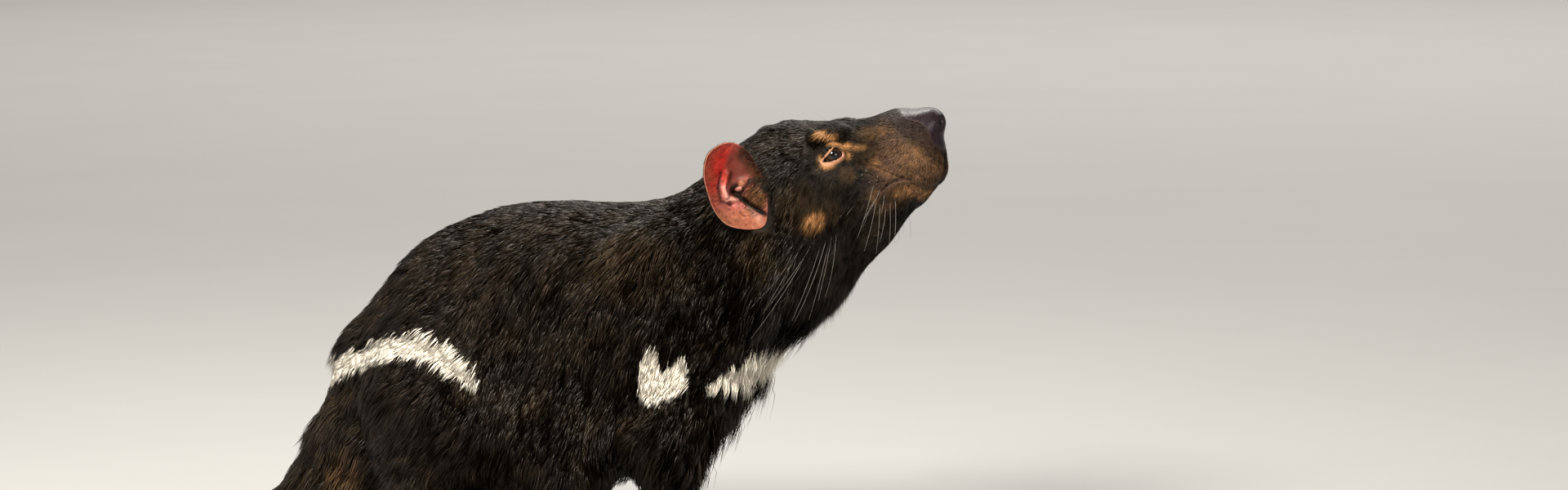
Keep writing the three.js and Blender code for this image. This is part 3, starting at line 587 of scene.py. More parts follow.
class Recipe:
    """A new material and the kinds of node that the recipes wire into its shader."""

    def __init__(self, name):
        self.material = bpy.data.materials.new(name)
        self.material.use_nodes = True
        self.tree = self.material.node_tree
        self.shader = self.tree.nodes["Principled BSDF"]

    def feed(self, node, **inputs):
        """Feeds a node's inputs, each named with _ for a space."""
        for name, value in inputs.items():
            self.wire(value, node.inputs[name.replace("_", " ")])
        return node

    def wire(self, value, socket):
        if hasattr(value, "is_linked"):
            self.tree.links.new(value, socket)
        else:
            socket.default_value = value

    def add(self, kind, **inputs):
        return self.feed(self.tree.nodes.new("ShaderNode" + kind), **inputs)

    def shade(self, **inputs):
        """Feeds the shader and gives the material."""
        self.feed(self.shader, **inputs)
        return self.material

    def bump(self, height, strength, distance):
        node = self.add("Bump", Strength=strength, Distance=distance, Height=height)
        return node.outputs["Normal"]

    def place(self):
        return self.add("TexCoord").outputs["Object"]

    def noise(self, scale, detail, distortion=0.0):
        return self.add("TexNoise", Scale=scale, Detail=detail, Distortion=distortion,
                        Vector=self.place()).outputs["Fac"]

    def painted(self, layer_name="coat"):
        """The painted values of a layer: red, green, blue and alpha."""
        attribute = self.add("VertexColor")
        attribute.layer_name = layer_name
        split = self.add("SeparateColor", Color=attribute.outputs["Color"])
        return (*split.outputs, attribute.outputs["Alpha"])

    def mix(self, factor, a, b, blend_type="MIX"):
        mix = self.add("Mix")
        mix.data_type = "RGBA"
        mix.blend_type = blend_type
        for number, value in ((0, factor), (6, a), (7, b)):
            self.wire(value, mix.inputs[number])
        return mix.outputs[2]

    def scaled(self, source, low, high):
        """A value that runs from low to high as the source runs from 0 to 1."""
        return self.add("MapRange", Value=source, To_Min=low, To_Max=high).outputs["Result"]

    def dimmed(self, colour, source, low, high):
        """The colour times a grey that runs from low to high with the source."""
        grey = self.scaled(source, low, high)
        grey = self.add("CombineColor", Red=grey, Green=grey, Blue=grey)
        return self.mix(1.0, colour, grey.outputs["Color"], "MULTIPLY")

    def ramped(self, source, stops):
        """A colour ramp through stops of place and colour."""
        ramp = self.add("ValToRGB", Fac=source)
        elements = ramp.color_ramp.elements
        while len(elements) < len(stops):
            elements.new(0.5)
        for element, (place, colour) in zip(elements, stops):
            element.position = place
            element.color = colour
        return ramp.outputs["Color"]


HAIR_STOPS = (
    (0.0, (0.0042, 0.0030, 0.0021, 1)),
    (0.12, (0.0090, 0.0062, 0.0040, 1)),
    (0.30, (0.032, 0.019, 0.0085, 1)),
    (0.50, (0.100, 0.050, 0.019, 1)),
    (0.72, (0.25, 0.122, 0.044, 1)),
    (1.0, (0.56, 0.28, 0.110, 1)),
)
# Cream at the tips and darker at the roots: the darker roots are painted shade deep in the coat
CREAM_HAIR = (0.93, 0.87, 0.76, 1)
CREAM_ROOT = (0.86, 0.79, 0.66, 1)


def coat_colour(m):
    """Black, brown, tan and cream hair from the painted values, with noise in each, darker towards
    the roots as painted shade deep in the coat.
    """
    white, warm, tone, rise = m.painted()
    product = m.add("Math")
    product.operation = "MULTIPLY"
    m.wire(warm, product.inputs[0])
    m.wire(m.scaled(m.noise(160, 5), 0.70, 1.30), product.inputs[1])
    dark = m.ramped(product.outputs[0], HAIR_STOPS)
    dark = m.dimmed(dark, tone, 0.25, 2.4)
    dark = m.dimmed(dark, rise, 0.70, 1.25)
    cream = m.mix(rise, CREAM_ROOT, CREAM_HAIR)
    return m.mix(white, dark, m.dimmed(cream, tone, 0.86, 1.08))


def coat_material():
    m = Recipe("coat_hair")
    # The reflection follows the hair's tone, so it is weakest where shade is painted dark
    return m.shade(Base_Color=coat_colour(m), Roughness=0.38,
                   Specular_IOR_Level=m.scaled(m.painted()[2], 0.0, 0.38),
                   Normal=m.bump(m.noise(1400, 2), 0.25, 0.0003))


SKIN_DARK = (0.042, 0.022, 0.014, 1)
SKIN_RED = (0.160, 0.078, 0.042, 1)
SKIN_WARM = (0.42, 0.20, 0.105, 1)
SKIN_PINK = (0.55, 0.25, 0.19, 1)
# Dark skin of the lid edges and nose, and along the mouth line partly painted shade in the crease
SKIN_RIM_AND_MOUTH_SHADE = (0.012, 0.007, 0.007, 1)


def skin_material():
    """Hair colours, and where the hair is thin the skin's own: how bare, eye, rim and pink; the rim
    colour along the mouth line is partly painted shade in the crease.
    """
    m = Recipe("coat_skin")
    bareness, eye, rim, pink = m.painted("bare")
    bare = m.mix(m.scaled(m.noise(260, 6), -0.2, 1.2), SKIN_DARK, SKIN_RED)
    for share, colour in ((eye, SKIN_WARM), (pink, SKIN_PINK), (rim, SKIN_RIM_AND_MOUTH_SHADE)):
        bare = m.mix(share, bare, colour)
    return m.shade(Base_Color=m.mix(bareness, coat_colour(m), bare),
                   Roughness=m.scaled(bareness, 0.85, 0.52), Specular_IOR_Level=0.22,
                   Normal=m.bump(m.noise(1000, 5), 0.5, 0.0005))


def nose_material():
    m = Recipe("nose_leather")
    cells = m.add("TexVoronoi", Scale=900, Vector=m.place())
    mottled = m.noise(300, 4)
    colour = m.mix(mottled, (0.006, 0.004, 0.005, 1), (0.024, 0.012, 0.017, 1))
    return m.shade(Base_Color=colour, Roughness=m.scaled(mottled, 0.20, 0.34),
                   Specular_IOR_Level=0.25, Normal=m.bump(cells.outputs["Distance"], 0.22, 0.0004))


def eye_material():
    """Black pupil in a dark brown iris, under a wet surface; painted: iris and white."""
    m = Recipe("eye_wet")
    iris, white, _, _ = m.painted()
    fibres = m.noise(1600, 3)
    brown = m.mix(fibres, (0.010, 0.005, 0.003, 1), (0.038, 0.017, 0.009, 1))
    rim = m.mix(fibres, (0.05, 0.025, 0.018, 1), (0.13, 0.075, 0.055, 1))
    colour = m.mix(iris, (0.002, 0.002, 0.002, 1), brown)
    return m.shade(Base_Color=m.mix(white, colour, rim), Roughness=0.03, Specular_IOR_Level=0.40)


def claw_material():
    m = Recipe("claw_horn")
    streaks = m.noise(500, 3)
    horn = m.mix(streaks, (0.20, 0.15, 0.10, 1), (0.42, 0.35, 0.27, 1))
    colour = m.mix(m.painted()[3], (0.09, 0.06, 0.045, 1), horn)
    return m.shade(Base_Color=colour, Roughness=0.35, Normal=m.bump(streaks, 0.3, 0.0003))


def ear_material():
    """Bare ear skin: the painted tint, veined and mottled."""
    m = Recipe("ear_skin")
    tint = m.add("VertexColor")
    tint.layer_name = "tint"
    mottled = m.noise(190, 6)
    veins = m.add("MapRange", Value=m.noise(110, 3, 2.2), From_Min=0.485, From_Max=0.515)
    veined = m.mix(veins.outputs["Result"], (0.66, 0.42, 0.38, 1), (1, 1, 1, 1))
    colour = m.mix(0.45, tint.outputs["Color"], veined, "MULTIPLY")
    return m.shade(Base_Color=m.dimmed(colour, mottled, 0.50, 1.50), Roughness=0.50,
                   Specular_IOR_Level=0.22, Subsurface_Weight=0.12, Subsurface_Scale=1.0,
                   Subsurface_Radius=(0.004, 0.0012, 0.0008), Normal=m.bump(mottled, 0.35, 0.0006))


def whisker_material():
    m = Recipe("whisker_hair")
    colour = m.mix(m.noise(120, 2), (0.07, 0.06, 0.05, 1), (0.34, 0.31, 0.27, 1))
    return m.shade(Base_Color=colour, Roughness=0.35)


def floor_material():
    m = Recipe("floor_pale")
    colour = m.mix(m.noise(3, 2), (0.365, 0.36, 0.35, 1), (0.345, 0.34, 0.33, 1))
    return m.shade(Base_Color=colour, Roughness=0.9, Specular_IOR_Level=0.2)


COAT = coat_material()
SKIN = skin_material()
NOSE = nose_material()


# Skin

def x_step(x):
    if x > 222:
        return 1.1
    if x > 145:
        return 1.6
    return 2.3 if x > 95 or -25 < x < 32 else 4.0


def y_step(y):
    return 1.15 if abs(y) < 46 else 1.9


def z_step(z):
    if z > 284:
        return 1.15
    return 2.1 if z < 40 or z > 262 else 3.2


skin_lines = [graded(-322, 312, x_step), graded(-100, 100, y_step), graded(-4, 366, z_step)]
skin_points, skin_quads = field_mesh(skin_form, skin_lines)
skin = add_mesh("skin", skin_points, skin_quads, [SKIN, NOSE])
FLESH = ["head", "nose_pad", "neck", "chest", "belly", "rump", "tail_root", "tail_middle",
         "tail_tip"]
FLESH += [f"{part}_{side}" for side in SIDES
          for part in ("upper_arm", "forearm", "forefoot", "thigh", "shank", "hindfoot")]
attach(skin, "root")
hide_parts(*FLESH)

skin_normals = vertex_normals(skin.data)

# Places of the blackest hair, with painted shade, and of the greyest, with painted sheen: middle
# and radii
BLACK_HAIR_AND_SHADE = (
    ((122, 46, 190), (62, 46, 62)),
    ((192, 10, 232), (44, 44, 38)),
    ((128, 50, 120), (34, 34, 50)),
    ((168, 60, 258), (24, 24, 40)),
    ((20, 60, 120), (60, 40, 30)),
    ((138, 46, 285), (28, 24, 22)),
)
GREY_HAIR_AND_SHEEN = (
    ((-70, 40, 236), (70, 60, 40)),
    ((205, 50, 312), (30, 20, 26)),
    ((-128, 30, 120), (40, 40, 60)),
    ((230, 46, 304), (20, 18, 20)),
)
# Under the tufts the coat is painted darker, as at the tufts' roots: painted shade deep in the coat
UNDERCOAT_SHADED_TONE = 0.6
UNDERCOAT_SHADED_RISE = 0.2


def grey_tone(p):
    """How pale the hair is, from 0 to 1: drifting over the coat, darkest where shade is painted on
    throat and shoulder, paler where sheen is painted on the back.
    """
    q = mirrored(p)
    tone = 0.45 + 0.20 * ripple(p, 38, 21) + 0.14 * ripple(p, 9, 22)
    # Painted shade darkens throat, shoulder, arm, neck and lower flank; painted sheen pales back,
    # crown, cheek and rump
    for places, change in ((BLACK_HAIR_AND_SHADE, -0.43), (GREY_HAIR_AND_SHEEN, 0.16)):
        for at, r in places:
            tone = tone + change * near_place(q, at, r)
    return np.clip(tone, 0, 1)


def paint_skin():
    """The coat's colours under the hair, darkened as painted shade, and the bare places of the face
    and soles.
    """
    p, q = skin_points, mirrored(skin_points)
    outside = p + skin_normals * coat_depth(p)[:, None]
    paint(skin, np.stack([white_mark(outside), warm_tint(p), grey_tone(p) * UNDERCOAT_SHADED_TONE,
                          np.full(len(p), UNDERCOAT_SHADED_RISE)], 1))
    along, up, out = eye_axes(q)
    over, under = slit_edges(along, up)
    before = ease(from_eye(q), 15, 12.5) * ease(out, -3, -1)
    upper_lid = ease(over, 2.6, 1.8) * ease(over, -0.6, 0) * (1 - 0.75 * ease(along, 0.5, 3.5))
    lower_lid = ease(under, 4.6, 3.2) * ease(under, -0.6, 0)
    lid = np.maximum(upper_lid * ease(up, -2, 0), lower_lid)
    lid = lid * ease(np.abs(along), 10.5, 8.5) * before
    edge = ease(np.abs(np.maximum(over, under) - 0.1), 0.75, 0.35) * before
    in_mouth = ease(chain(q, MOUTH, (0.8,) * 8, 1), 0.9, 0.0)
    muzzle = ease(q[:, 0], 252, 272) * ease(q[:, 2], 294, 302) * 0.75
    sole = ease(p[:, 2], 3.5, 1.5)
    canthus = ease(np.hypot(along - 7.6, up - 0.2), 2.4, 1.2) * before
    bare = np.maximum.reduce([muzzle, lid, in_mouth, by_nose(p), sole, edge, canthus])
    # Dark skin at the lid edges and round the nose pad, and along the mouth line, where it is
    # partly painted shade in the crease
    dark = np.maximum.reduce([in_mouth * 0.7, edge, by_nose(p) * 0.85]) * (1 - canthus)
    paint(skin, np.stack([bare, lid, dark, np.maximum(canthus, sole * 0.4)], 1), "bare")
    leather = nose_leather(p)[skin_quads].mean(1) > 0.5
    skin.data.polygons.foreach_set("material_index", leather.astype(np.int32))


paint_skin()


# The lie of the coat

def tail_direction(p):
    links = np.array(TAIL, float)
    middles = (links[1:] + links[:-1]) / 2
    steps = unit(links[1:] - links[:-1])
    weight = np.exp(-(np.stack([length(p - m) for m in middles], 1) / 22) ** 2) + 1e-9
    return unit(weight @ steps)


def turned(lie, way, share):
    """Directions turned from lie to way by a share of 0 to 1 at each place."""
    share = share[:, None]
    return lie * (1 - share) + way * share


def along_surface(lie, n):
    return unit(lie - n * np.einsum("ij,ij->i", lie, n)[:, None])


def lie_of_coat(p, n):
    """The direction in which hair lies at each place, along the surface."""
    q = mirrored(p)
    x, _, z = p.T
    flank = turned(vec(-0.42, 0, -0.90), vec(-0.72, 0, -0.70), ease(x, 20, -70))
    lie = turned(vec(-0.95, 0, -0.3), flank, np.abs(n[:, 1]))
    cheek = ease(q[:, 1], 20, 40) * ease(x, 262, 236)
    head = turned(vec(-0.93, 0, -0.26), vec(-0.50, 0, -0.86), cheek)
    lie = turned(lie, head, ease(x, 168, 205) * ease(z, 205, 240))
    lie = turned(lie, vec(-0.35, 0, -0.93), ease(x, 262, 280) * ease(z, 340, 326))
    legs = np.zeros(len(p))
    torso = joined(q, TORSO)
    for leg in LEGS.values():
        for form in (leg.fore, leg.hind):
            legs = np.maximum(legs, ease(torso - form(p), 0, 16) * ease(z, 140, 100))
    lie = turned(lie, vec(-0.22, 0, -0.97), legs)
    lie = turned(lie, vec(0.95, 0, -0.25), ease(z, 40, 22) * ease(x, -112, -96))
    lie = turned(lie, tail_direction(p), ease(tail_form(p), 3, -4) * ease(x, -96, -118))
    lie = along_surface(lie, n)
    swirl = (0.20 * ripple(p, 46, 31) + 0.18 * ripple(p, 15, 32))[:, None]
    return unit(lie * np.cos(swirl) + np.cross(n, lie) * np.sin(swirl))


# Tufts

def scatter(points, quads, normals, count, weight, rng):
    """Evenly spread roots on a surface, as places and normals; weight is one number a quad."""
    a, b, c, d = (points[quads[:, k]] for k in range(4))
    area = (length(np.cross(b - a, c - a)) + length(np.cross(c - a, d - a))) / 2
    total = np.cumsum(area * weight)
    pick = np.searchsorted(total, (np.arange(count) + rng.random(count)) / count * total[-1])
    pick = np.minimum(pick, len(area) - 1)
    u, v = rng.random((2, count, 1))
    shares = ((1 - u) * (1 - v), u * (1 - v), u * v, (1 - u) * v)
    at, n = (sum(share * values[quads[pick, k]] for k, share in enumerate(shares))
             for values in (points, normals))
    return at, unit(n)


def nearest(points, leads):
    """For each point the number of the nearest lead."""
    tree = KDTree(len(leads))
    for number, lead in enumerate(leads):
        tree.insert(lead, number)
    tree.balance()
    return np.array([tree.find(point)[1] for point in points])


TUFTS_A_CLUMP = 11
DOWN = vec(0, 0, -1)


def spines(at, n, lie, long, lift, s):
    """Curved paths that rise from their roots and bend over along the coat."""
    forward = s - 0.10 * s ** 2
    height = s * (1.3 - 0.75 * s)
    into = np.minimum(n @ DOWN, 0)[:, None] * n
    droop = (DOWN - into) * 0.20
    return (at[:, None] + lie[:, None] * (long[:, None] * forward)[:, :, None]
            + n[:, None] * (long[:, None] * lift[:, None] * height)[:, :, None]
            + droop[:, None] * (long[:, None] * s ** 2)[:, :, None])


def tuft_paths(at, n, lie, long, lift, pull, s, rng):
    """The tufts' paths, drawn together into clumps with a lift and a turn of their own."""
    count = len(at)
    lie = unit(lie + np.cross(n, lie) * rng.normal(0, 0.13, (count, 1)))
    leads = rng.choice(count, max(1, count // TUFTS_A_CLUMP), replace=False)
    owner = nearest(at, at[leads])
    sideways = np.cross(n[leads], lie[leads]) * rng.normal(0, 0.22, (len(leads), 1))
    clump_lift = lift[leads] * rng.uniform(0.75, 1.35, len(leads))
    guides = spines(at[leads], n[leads], unit(lie[leads] + sideways), long[leads] * 1.05,
                    clump_lift, s)
    share = (rng.uniform(0.6, 1.15, count) * pull)[:, None, None] * (s ** 1.2)[None, :, None]
    share = np.clip(share, 0, 0.92)
    return spines(at, n, lie, long, lift, s) * (1 - share) + guides[owner] * share, lie, owner


TUFT_SIDES = 3
TUFT_TURNS = 2 * np.pi * np.arange(TUFT_SIDES) / TUFT_SIDES
TUFT_FLATNESS = 0.5
TUFT_SINK = 1.0
FLOOR_ROOM = 0.3
PATCH_HALF = 0.0015


def tuft_faces(rings):
    """The triangles of one closed tuft: rings of corners from its root, and its tip."""
    sides, last = TUFT_SIDES, (rings - 1) * TUFT_SIDES
    faces = []
    for first in range(0, last, sides):
        for k in range(sides):
            a, b = first + k, first + (k + 1) % sides
            faces += [(a, b, b + sides), (a, b + sides, a + sides)]
    faces += [(last + k, last + (k + 1) % sides, last + sides) for k in range(sides)]
    return np.array(faces + [(0, k + 1, k) for k in range(1, sides - 1)])


def paint_tufts(piece, at, tips, owner, rise, rng):
    """Whether each tuft is white, how warm and pale it is, and how far up it each corner is."""
    count = len(at)
    clump_tone = rng.normal(0, 0.20, owner.max() + 1)
    tone = np.clip(grey_tone(at) + clump_tone[owner] + rng.normal(0, 0.24, count), 0, 1)
    white = mark_distance(tips) < rng.uniform(-0.8, 0.8, count)
    warm = np.clip(warm_tint(at) * rng.uniform(0.75, 1.25, count), 0, 1)
    values = np.empty((count, len(rise), 4))
    values[..., :3] = np.stack([white, warm, tone], 1)[:, None]
    values[..., 3] = rise
    paint(piece, values)


def tuft_mesh(name, at, n, lie, long, wide, lift, pull, rng, rings, unwrap):
    """Tapered tufts with their colours and a patch each on the coat's unwrap."""
    count = len(at)
    s = np.linspace(0, 1, rings + 1)
    spine, lie, owner = tuft_paths(at, n, lie, long, lift, pull, s, rng)
    spine[:, 0] -= n * np.minimum(TUFT_SINK, long * 0.06)[:, None]
    girth = (1 - s ** 1.6) * (0.75 + 0.9 * s * (1 - s))
    across = np.cross(n, lie)
    offset = (across[:, None, None] * np.cos(TUFT_TURNS)[:, None]
              + n[:, None, None] * (TUFT_FLATNESS * np.sin(TUFT_TURNS))[:, None])
    shell = spine[:, :rings, None] + offset * (wide[:, None] * girth[:rings])[:, :, None, None] / 2
    points = np.concatenate([shell.reshape(count, -1, 3), spine[:, -1:]], 1)
    points[..., 2] = np.maximum(points[..., 2], FLOOR_ROOM + 0.02 * points[..., 2])
    per = points.shape[1]
    faces = (tuft_faces(rings) + per * np.arange(count)[:, None, None]).reshape(-1, 3)
    piece = add_mesh(name, points.reshape(-1, 3), faces, [COAT])
    rise = np.append(np.repeat(s[:rings], TUFT_SIDES), 1.0)
    paint_tufts(piece, at, spine[:, -1] * 0.8 + at * 0.2 + n * 2, owner, rise, rng)
    ring = np.stack([np.cos(TUFT_TURNS), np.sin(TUFT_TURNS)], 1) * PATCH_HALF
    spread = np.concatenate([(ring * (1 - s[:rings, None, None])).reshape(-1, 2), np.zeros((1, 2))])
    uv = (unwrap(at)[:, None] + spread[None]).reshape(-1, 2)
    layer = piece.data.uv_layers.new(name="OFBake")
    layer.data.foreach_set("uv", uv[faces.ravel()].astype(np.float32).ravel())
    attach(piece, "root")


def along_body(p):
    """Unwrap round the long axis: along X, and the turn about a line through the trunk."""
    x, y, z = p.T
    centre = np.interp(x, (-300, -180, -110, 0, 120, 200, 300), (14, 40, 140, 185, 200, 285, 325))
    turn = np.arctan2(y, z - centre) / (2 * np.pi) + 0.5
    return np.stack([(x + 330) / 660, turn * 0.98 + 0.01], 1)


def down_legs(p):
    """Unwrap of the four legs: each in its own quarter, by height and by the turn about it."""
    x, y, z = p.T
    fore, left = x > 68, y > 0
    hind_x = np.interp(z, (0, 30, 110), (-40, -50, 30))
    centre_x = np.where(fore, np.where(left, 100, 122), hind_x)
    turn = np.arctan2(x - centre_x, np.abs(y) - 58) / (2 * np.pi) + 0.5
    return np.stack([0.5 * fore + 0.01 + 0.48 * np.clip(z / 150, 0, 1),
                     0.5 * left + 0.01 + 0.48 * turn], 1)


FOOT_TOP, LEG_TOP = 34, 104
LEGS_BACK, TAIL_FRONT = -104, -112
middles = skin_points[skin_quads].mean(1)
folded_middles = mirrored(middles)
x_mid, _, z_mid = middles.T
ear_share, ear_above = ear_place(folded_middles)
ear_zone = (ear_share < 1.04) & (ear_above > -4) & (ear_above < 30)
foot_zone = (z_mid < FOOT_TOP) & (x_mid > LEGS_BACK)
leg_zone = (z_mid < LEG_TOP) & (x_mid > LEGS_BACK) & ~foot_zone
tail_zone = (tail_form(middles) < 2) & (x_mid < TAIL_FRONT)
above_slit, below_slit = slit_edges(*eye_axes(folded_middles)[:2])
eye_zone = (above_slit < 2.2) & (below_slit < 4.0) & (from_eye(folded_middles) < 13)
mouth_zone = chain(folded_middles, MOUTH, (0.4,) * 8, 1) < 0.4
open_zone = ~((nose_leather(middles) > 0.3) | eye_zone | mouth_zone | ear_zone | (z_mid < 2.5))
main_zone = open_zone & ~foot_zone & ~leg_zone & ~tail_zone


def between(low, high):
    return main_zone & (x_mid > low) & (x_mid <= high)


# Each region of coat: where it grows, how many tufts, their width, lift and pull into
# clumps, the rings of each tuft and the unwrap
REGIONS = {
    "muzzle": (between(246, 400), 32000, 0.50, 0.40, 0.10, 1, along_body),
    "face": (between(212, 246), 26000, 0.66, 0.42, 0.25, 1, along_body),
    "cheeks": (between(168, 212), 14000, 0.95, 0.38, 0.35, 2, along_body),
    "neck": (between(124, 168), 14500, 1.15, 0.38, 0.62, 2, along_body),
    "shoulders": (between(62, 124), 15500, 1.25, 0.38, 0.42, 2, along_body),
    "flanks": (between(-8, 62), 15500, 1.30, 0.38, 0.45, 2, along_body),
    "loins": (between(-72, -8), 15500, 1.30, 0.38, 0.50, 2, along_body),
    "rump": (between(-400, -72), 13500, 1.35, 0.40, 0.55, 2, along_body),
    "tail": (tail_zone & open_zone, 9000, 1.45, 0.32, 0.68, 3, along_body),
    "legs": (leg_zone & open_zone, 14000, 1.10, 0.30, 0.50, 2, down_legs),
    "feet": (foot_zone & open_zone, 15000, 0.65, 0.24, 0.3, 1, down_legs),
}


def hair_length(p):
    """Millimetres of hair at each place, from the short muzzle to the long tail."""
    x, _, z = p.T
    long = np.interp(x, (-112, -72, 0, 124, 168, 200, 222, 246, 262, 290),
                     (19, 18.5, 17, 16, 14.5, 11.5, 7.5, 4.4, 3.1, 2.5))
    long = toward(long, 10.5, ease(z, 125, 85) * ease(x, -122, -96))
    long = toward(long, 4.2, ease(z, 40, 26) * ease(x, -118, -98))
    tail = ease(tail_form(p), 8, 0) * ease(x, -104, -130)
    return toward(long, np.interp(x, (-310, -270), (13, 26)), tail)


def grow_coat(order, name, zone, count, wide, lift, pull, rings, unwrap):
    rng = np.random.default_rng(100 + order)
    at, n = scatter(skin_points, skin_quads, skin_normals, count, zone.astype(float), rng)
    q, x, rise = mirrored(at), at[:, 0], n[:, 2]
    throat = ease(x, 110, 160) * ease(x, 262, 226) * ease(rise, 0.1, -0.4)
    belly = ease(rise, -0.2, -0.7) * ease(x, 110, 60)
    back = ease(rise, 0.4, 0.9)
    long = hair_length(at) * rng.uniform(0.78, 1.22, count) * (1 - 0.22 * back + 0.45 * throat)
    long = long * (1 - 0.42 * ease(np.abs(mark_distance(at + n * coat_depth(at)[:, None])), 13, 5))
    long = long * (0.40 + 0.60 * ease(from_eye(q), 10, 19))
    share, above = ear_place(q)
    ear_front = ease(share, 1.6, 1.1) * ease(np.abs(above), 24, 12) * ease(at[:, 2], 318, 304)
    long = np.maximum(long * (1 - 0.45 * ear_front), 1.4)
    lifts = lift * rng.uniform(0.7, 1.3, count) * (1 - 0.2 * back + 0.6 * throat + 0.35 * belly)
    stray = rng.random(count) < 0.16 * throat
    long, lifts = long * (1 + 0.30 * stray), lifts * (1 + 0.5 * stray)
    tuft_mesh(f"coat_{name}", at, n, lie_of_coat(at, n), long, wide * rng.uniform(0.7, 1.3, count),
              lifts, pull, rng, rings, unwrap)


for order, (name, region) in enumerate(REGIONS.items()):
    grow_coat(order, name, *region)


# Eyes

def grid_faces(rows, columns):
    i, j = lattice(np.arange(rows - 1), np.arange(columns)).transpose(2, 0, 1)
    a = i * columns + j
    b = i * columns + (j + 1) % columns
    return np.stack([a, b, b + columns, a + columns], -1).reshape(-1, 4)


# Angles from the gaze at which the pupil, the bulge of the cornea and the iris end
PUPIL_EDGE = (0.42, 0.48)
CORNEA_EDGE = (0.62, 0.86)
IRIS_EDGE = (0.98, 1.08)
CORNEA_RISE = 0.25
LID_ROOM = 0.05
POLE_GAP = 0.002


def make_eye(name, side, material):
    """An eyeball as rows about the gaze, with its pupil and its white painted."""
    rows, columns = 44, 56
    polar = np.linspace(POLE_GAP, math.pi - POLE_GAP, rows)[:, None]
    turn = np.linspace(0, 2 * math.pi, columns, endpoint=False)[None]
    gaze = GAZE * on_side(side)
    along = unit(np.cross(gaze, UP))
    up = np.cross(along, gaze)
    reach = EYE_RADIUS - LID_ROOM - CORNEA_RISE * ease(polar, *CORNEA_EDGE)
    shares = (np.cos(polar) + 0 * turn, np.sin(polar) * np.cos(turn), np.sin(polar) * np.sin(turn))
    points = sum((share * reach)[..., None] * axis
                 for share, axis in zip(shares, (gaze, along, up)))
    points = points.reshape(-1, 3) + EYE * on_side(side)
    piece = add_mesh(name, points, grid_faces(rows, columns), [material])
    angle = np.repeat(polar.ravel(), columns)
    none = np.zeros(len(angle))
    paint(piece, np.stack([ease(angle, *PUPIL_EDGE), ease(angle, *IRIS_EDGE), none, none + 1], 1))
    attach(piece, "root")
    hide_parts(name)


eye_wet = eye_material()
for side_name, side in SIDES.items():
    make_eye(f"eye_{side_name}", side, eye_wet)


# Ears: relief and tints of the cup's inner face, in the ear's plane

# Ridge, groove and notch as lines through corners, and two knobs: middle, width and height
ANTIHELIX = ((3.1, 8.2), (5.6, -1.8), (2.5, -10.5), (-5, -9.3))
HELIX_GROOVE = ((7.5, 8.8), (9.3, -2.3), (7.5, -11), (0, -14))
NOTCH = ((-4.5, -6.5), (-13, -14.5), (-21, -19.9))
TRAGUS = (((-7.5, 1.2), 3.4, 4.6), ((-5.6, -2.9), 2.2, 3.4))
EAR_COLOURS = {
    "pink": (0.34, 0.105, 0.080), "red": (0.50, 0.020, 0.014), "coral": (0.46, 0.092, 0.052),
    "pale": (0.60, 0.31, 0.25), "peach": (0.30, 0.115, 0.062), "tan": (0.125, 0.052, 0.013),
    "brown": (0.050, 0.016, 0.007), "dark": (0.014, 0.005, 0.003), "wine": (0.115, 0.024, 0.014),
    "rim": (0.40, 0.19, 0.12), "black": (0.010, 0.008, 0.007),
}


def flat_distance(points, line):
    """Distance in the ear's plane to a line through corners."""
    flat = np.concatenate([points, np.zeros((len(points), 1))], 1)
    return chain(flat, [(*corner, 0) for corner in line], (0,) * len(line), 0.01)


def ear_relief(points):
    """How far the folds rise from the cup: a ridge, its groove, the notch, the canal and knobs."""
    rise = -2.6 * np.exp(-(length(points - EAR_CANAL) / 3.4) ** 2)
    for line, wide, high in ((ANTIHELIX, 2.3, 3.0), (HELIX_GROOVE, 1.9, -2.0), (NOTCH, 1.5, -2.4)):
        rise = rise + high * np.exp(-(flat_distance(points, line) / wide) ** 2)
    for at, wide, high in TRAGUS:
        rise = rise + high * np.exp(-(length(points - vec(*at)) / wide) ** 2)
    ribs = 0.35 * np.sin(points[:, 1] * 1.9 + 0.8 * np.sin(points[:, 0] * 0.7))
    flap = 3.0 * ease(out_of(points, (-15.5, -9), (6.5, 10)), 1.1, 0.4)
    return rise + flap + ribs * ease(points[:, 0], 11, 15)


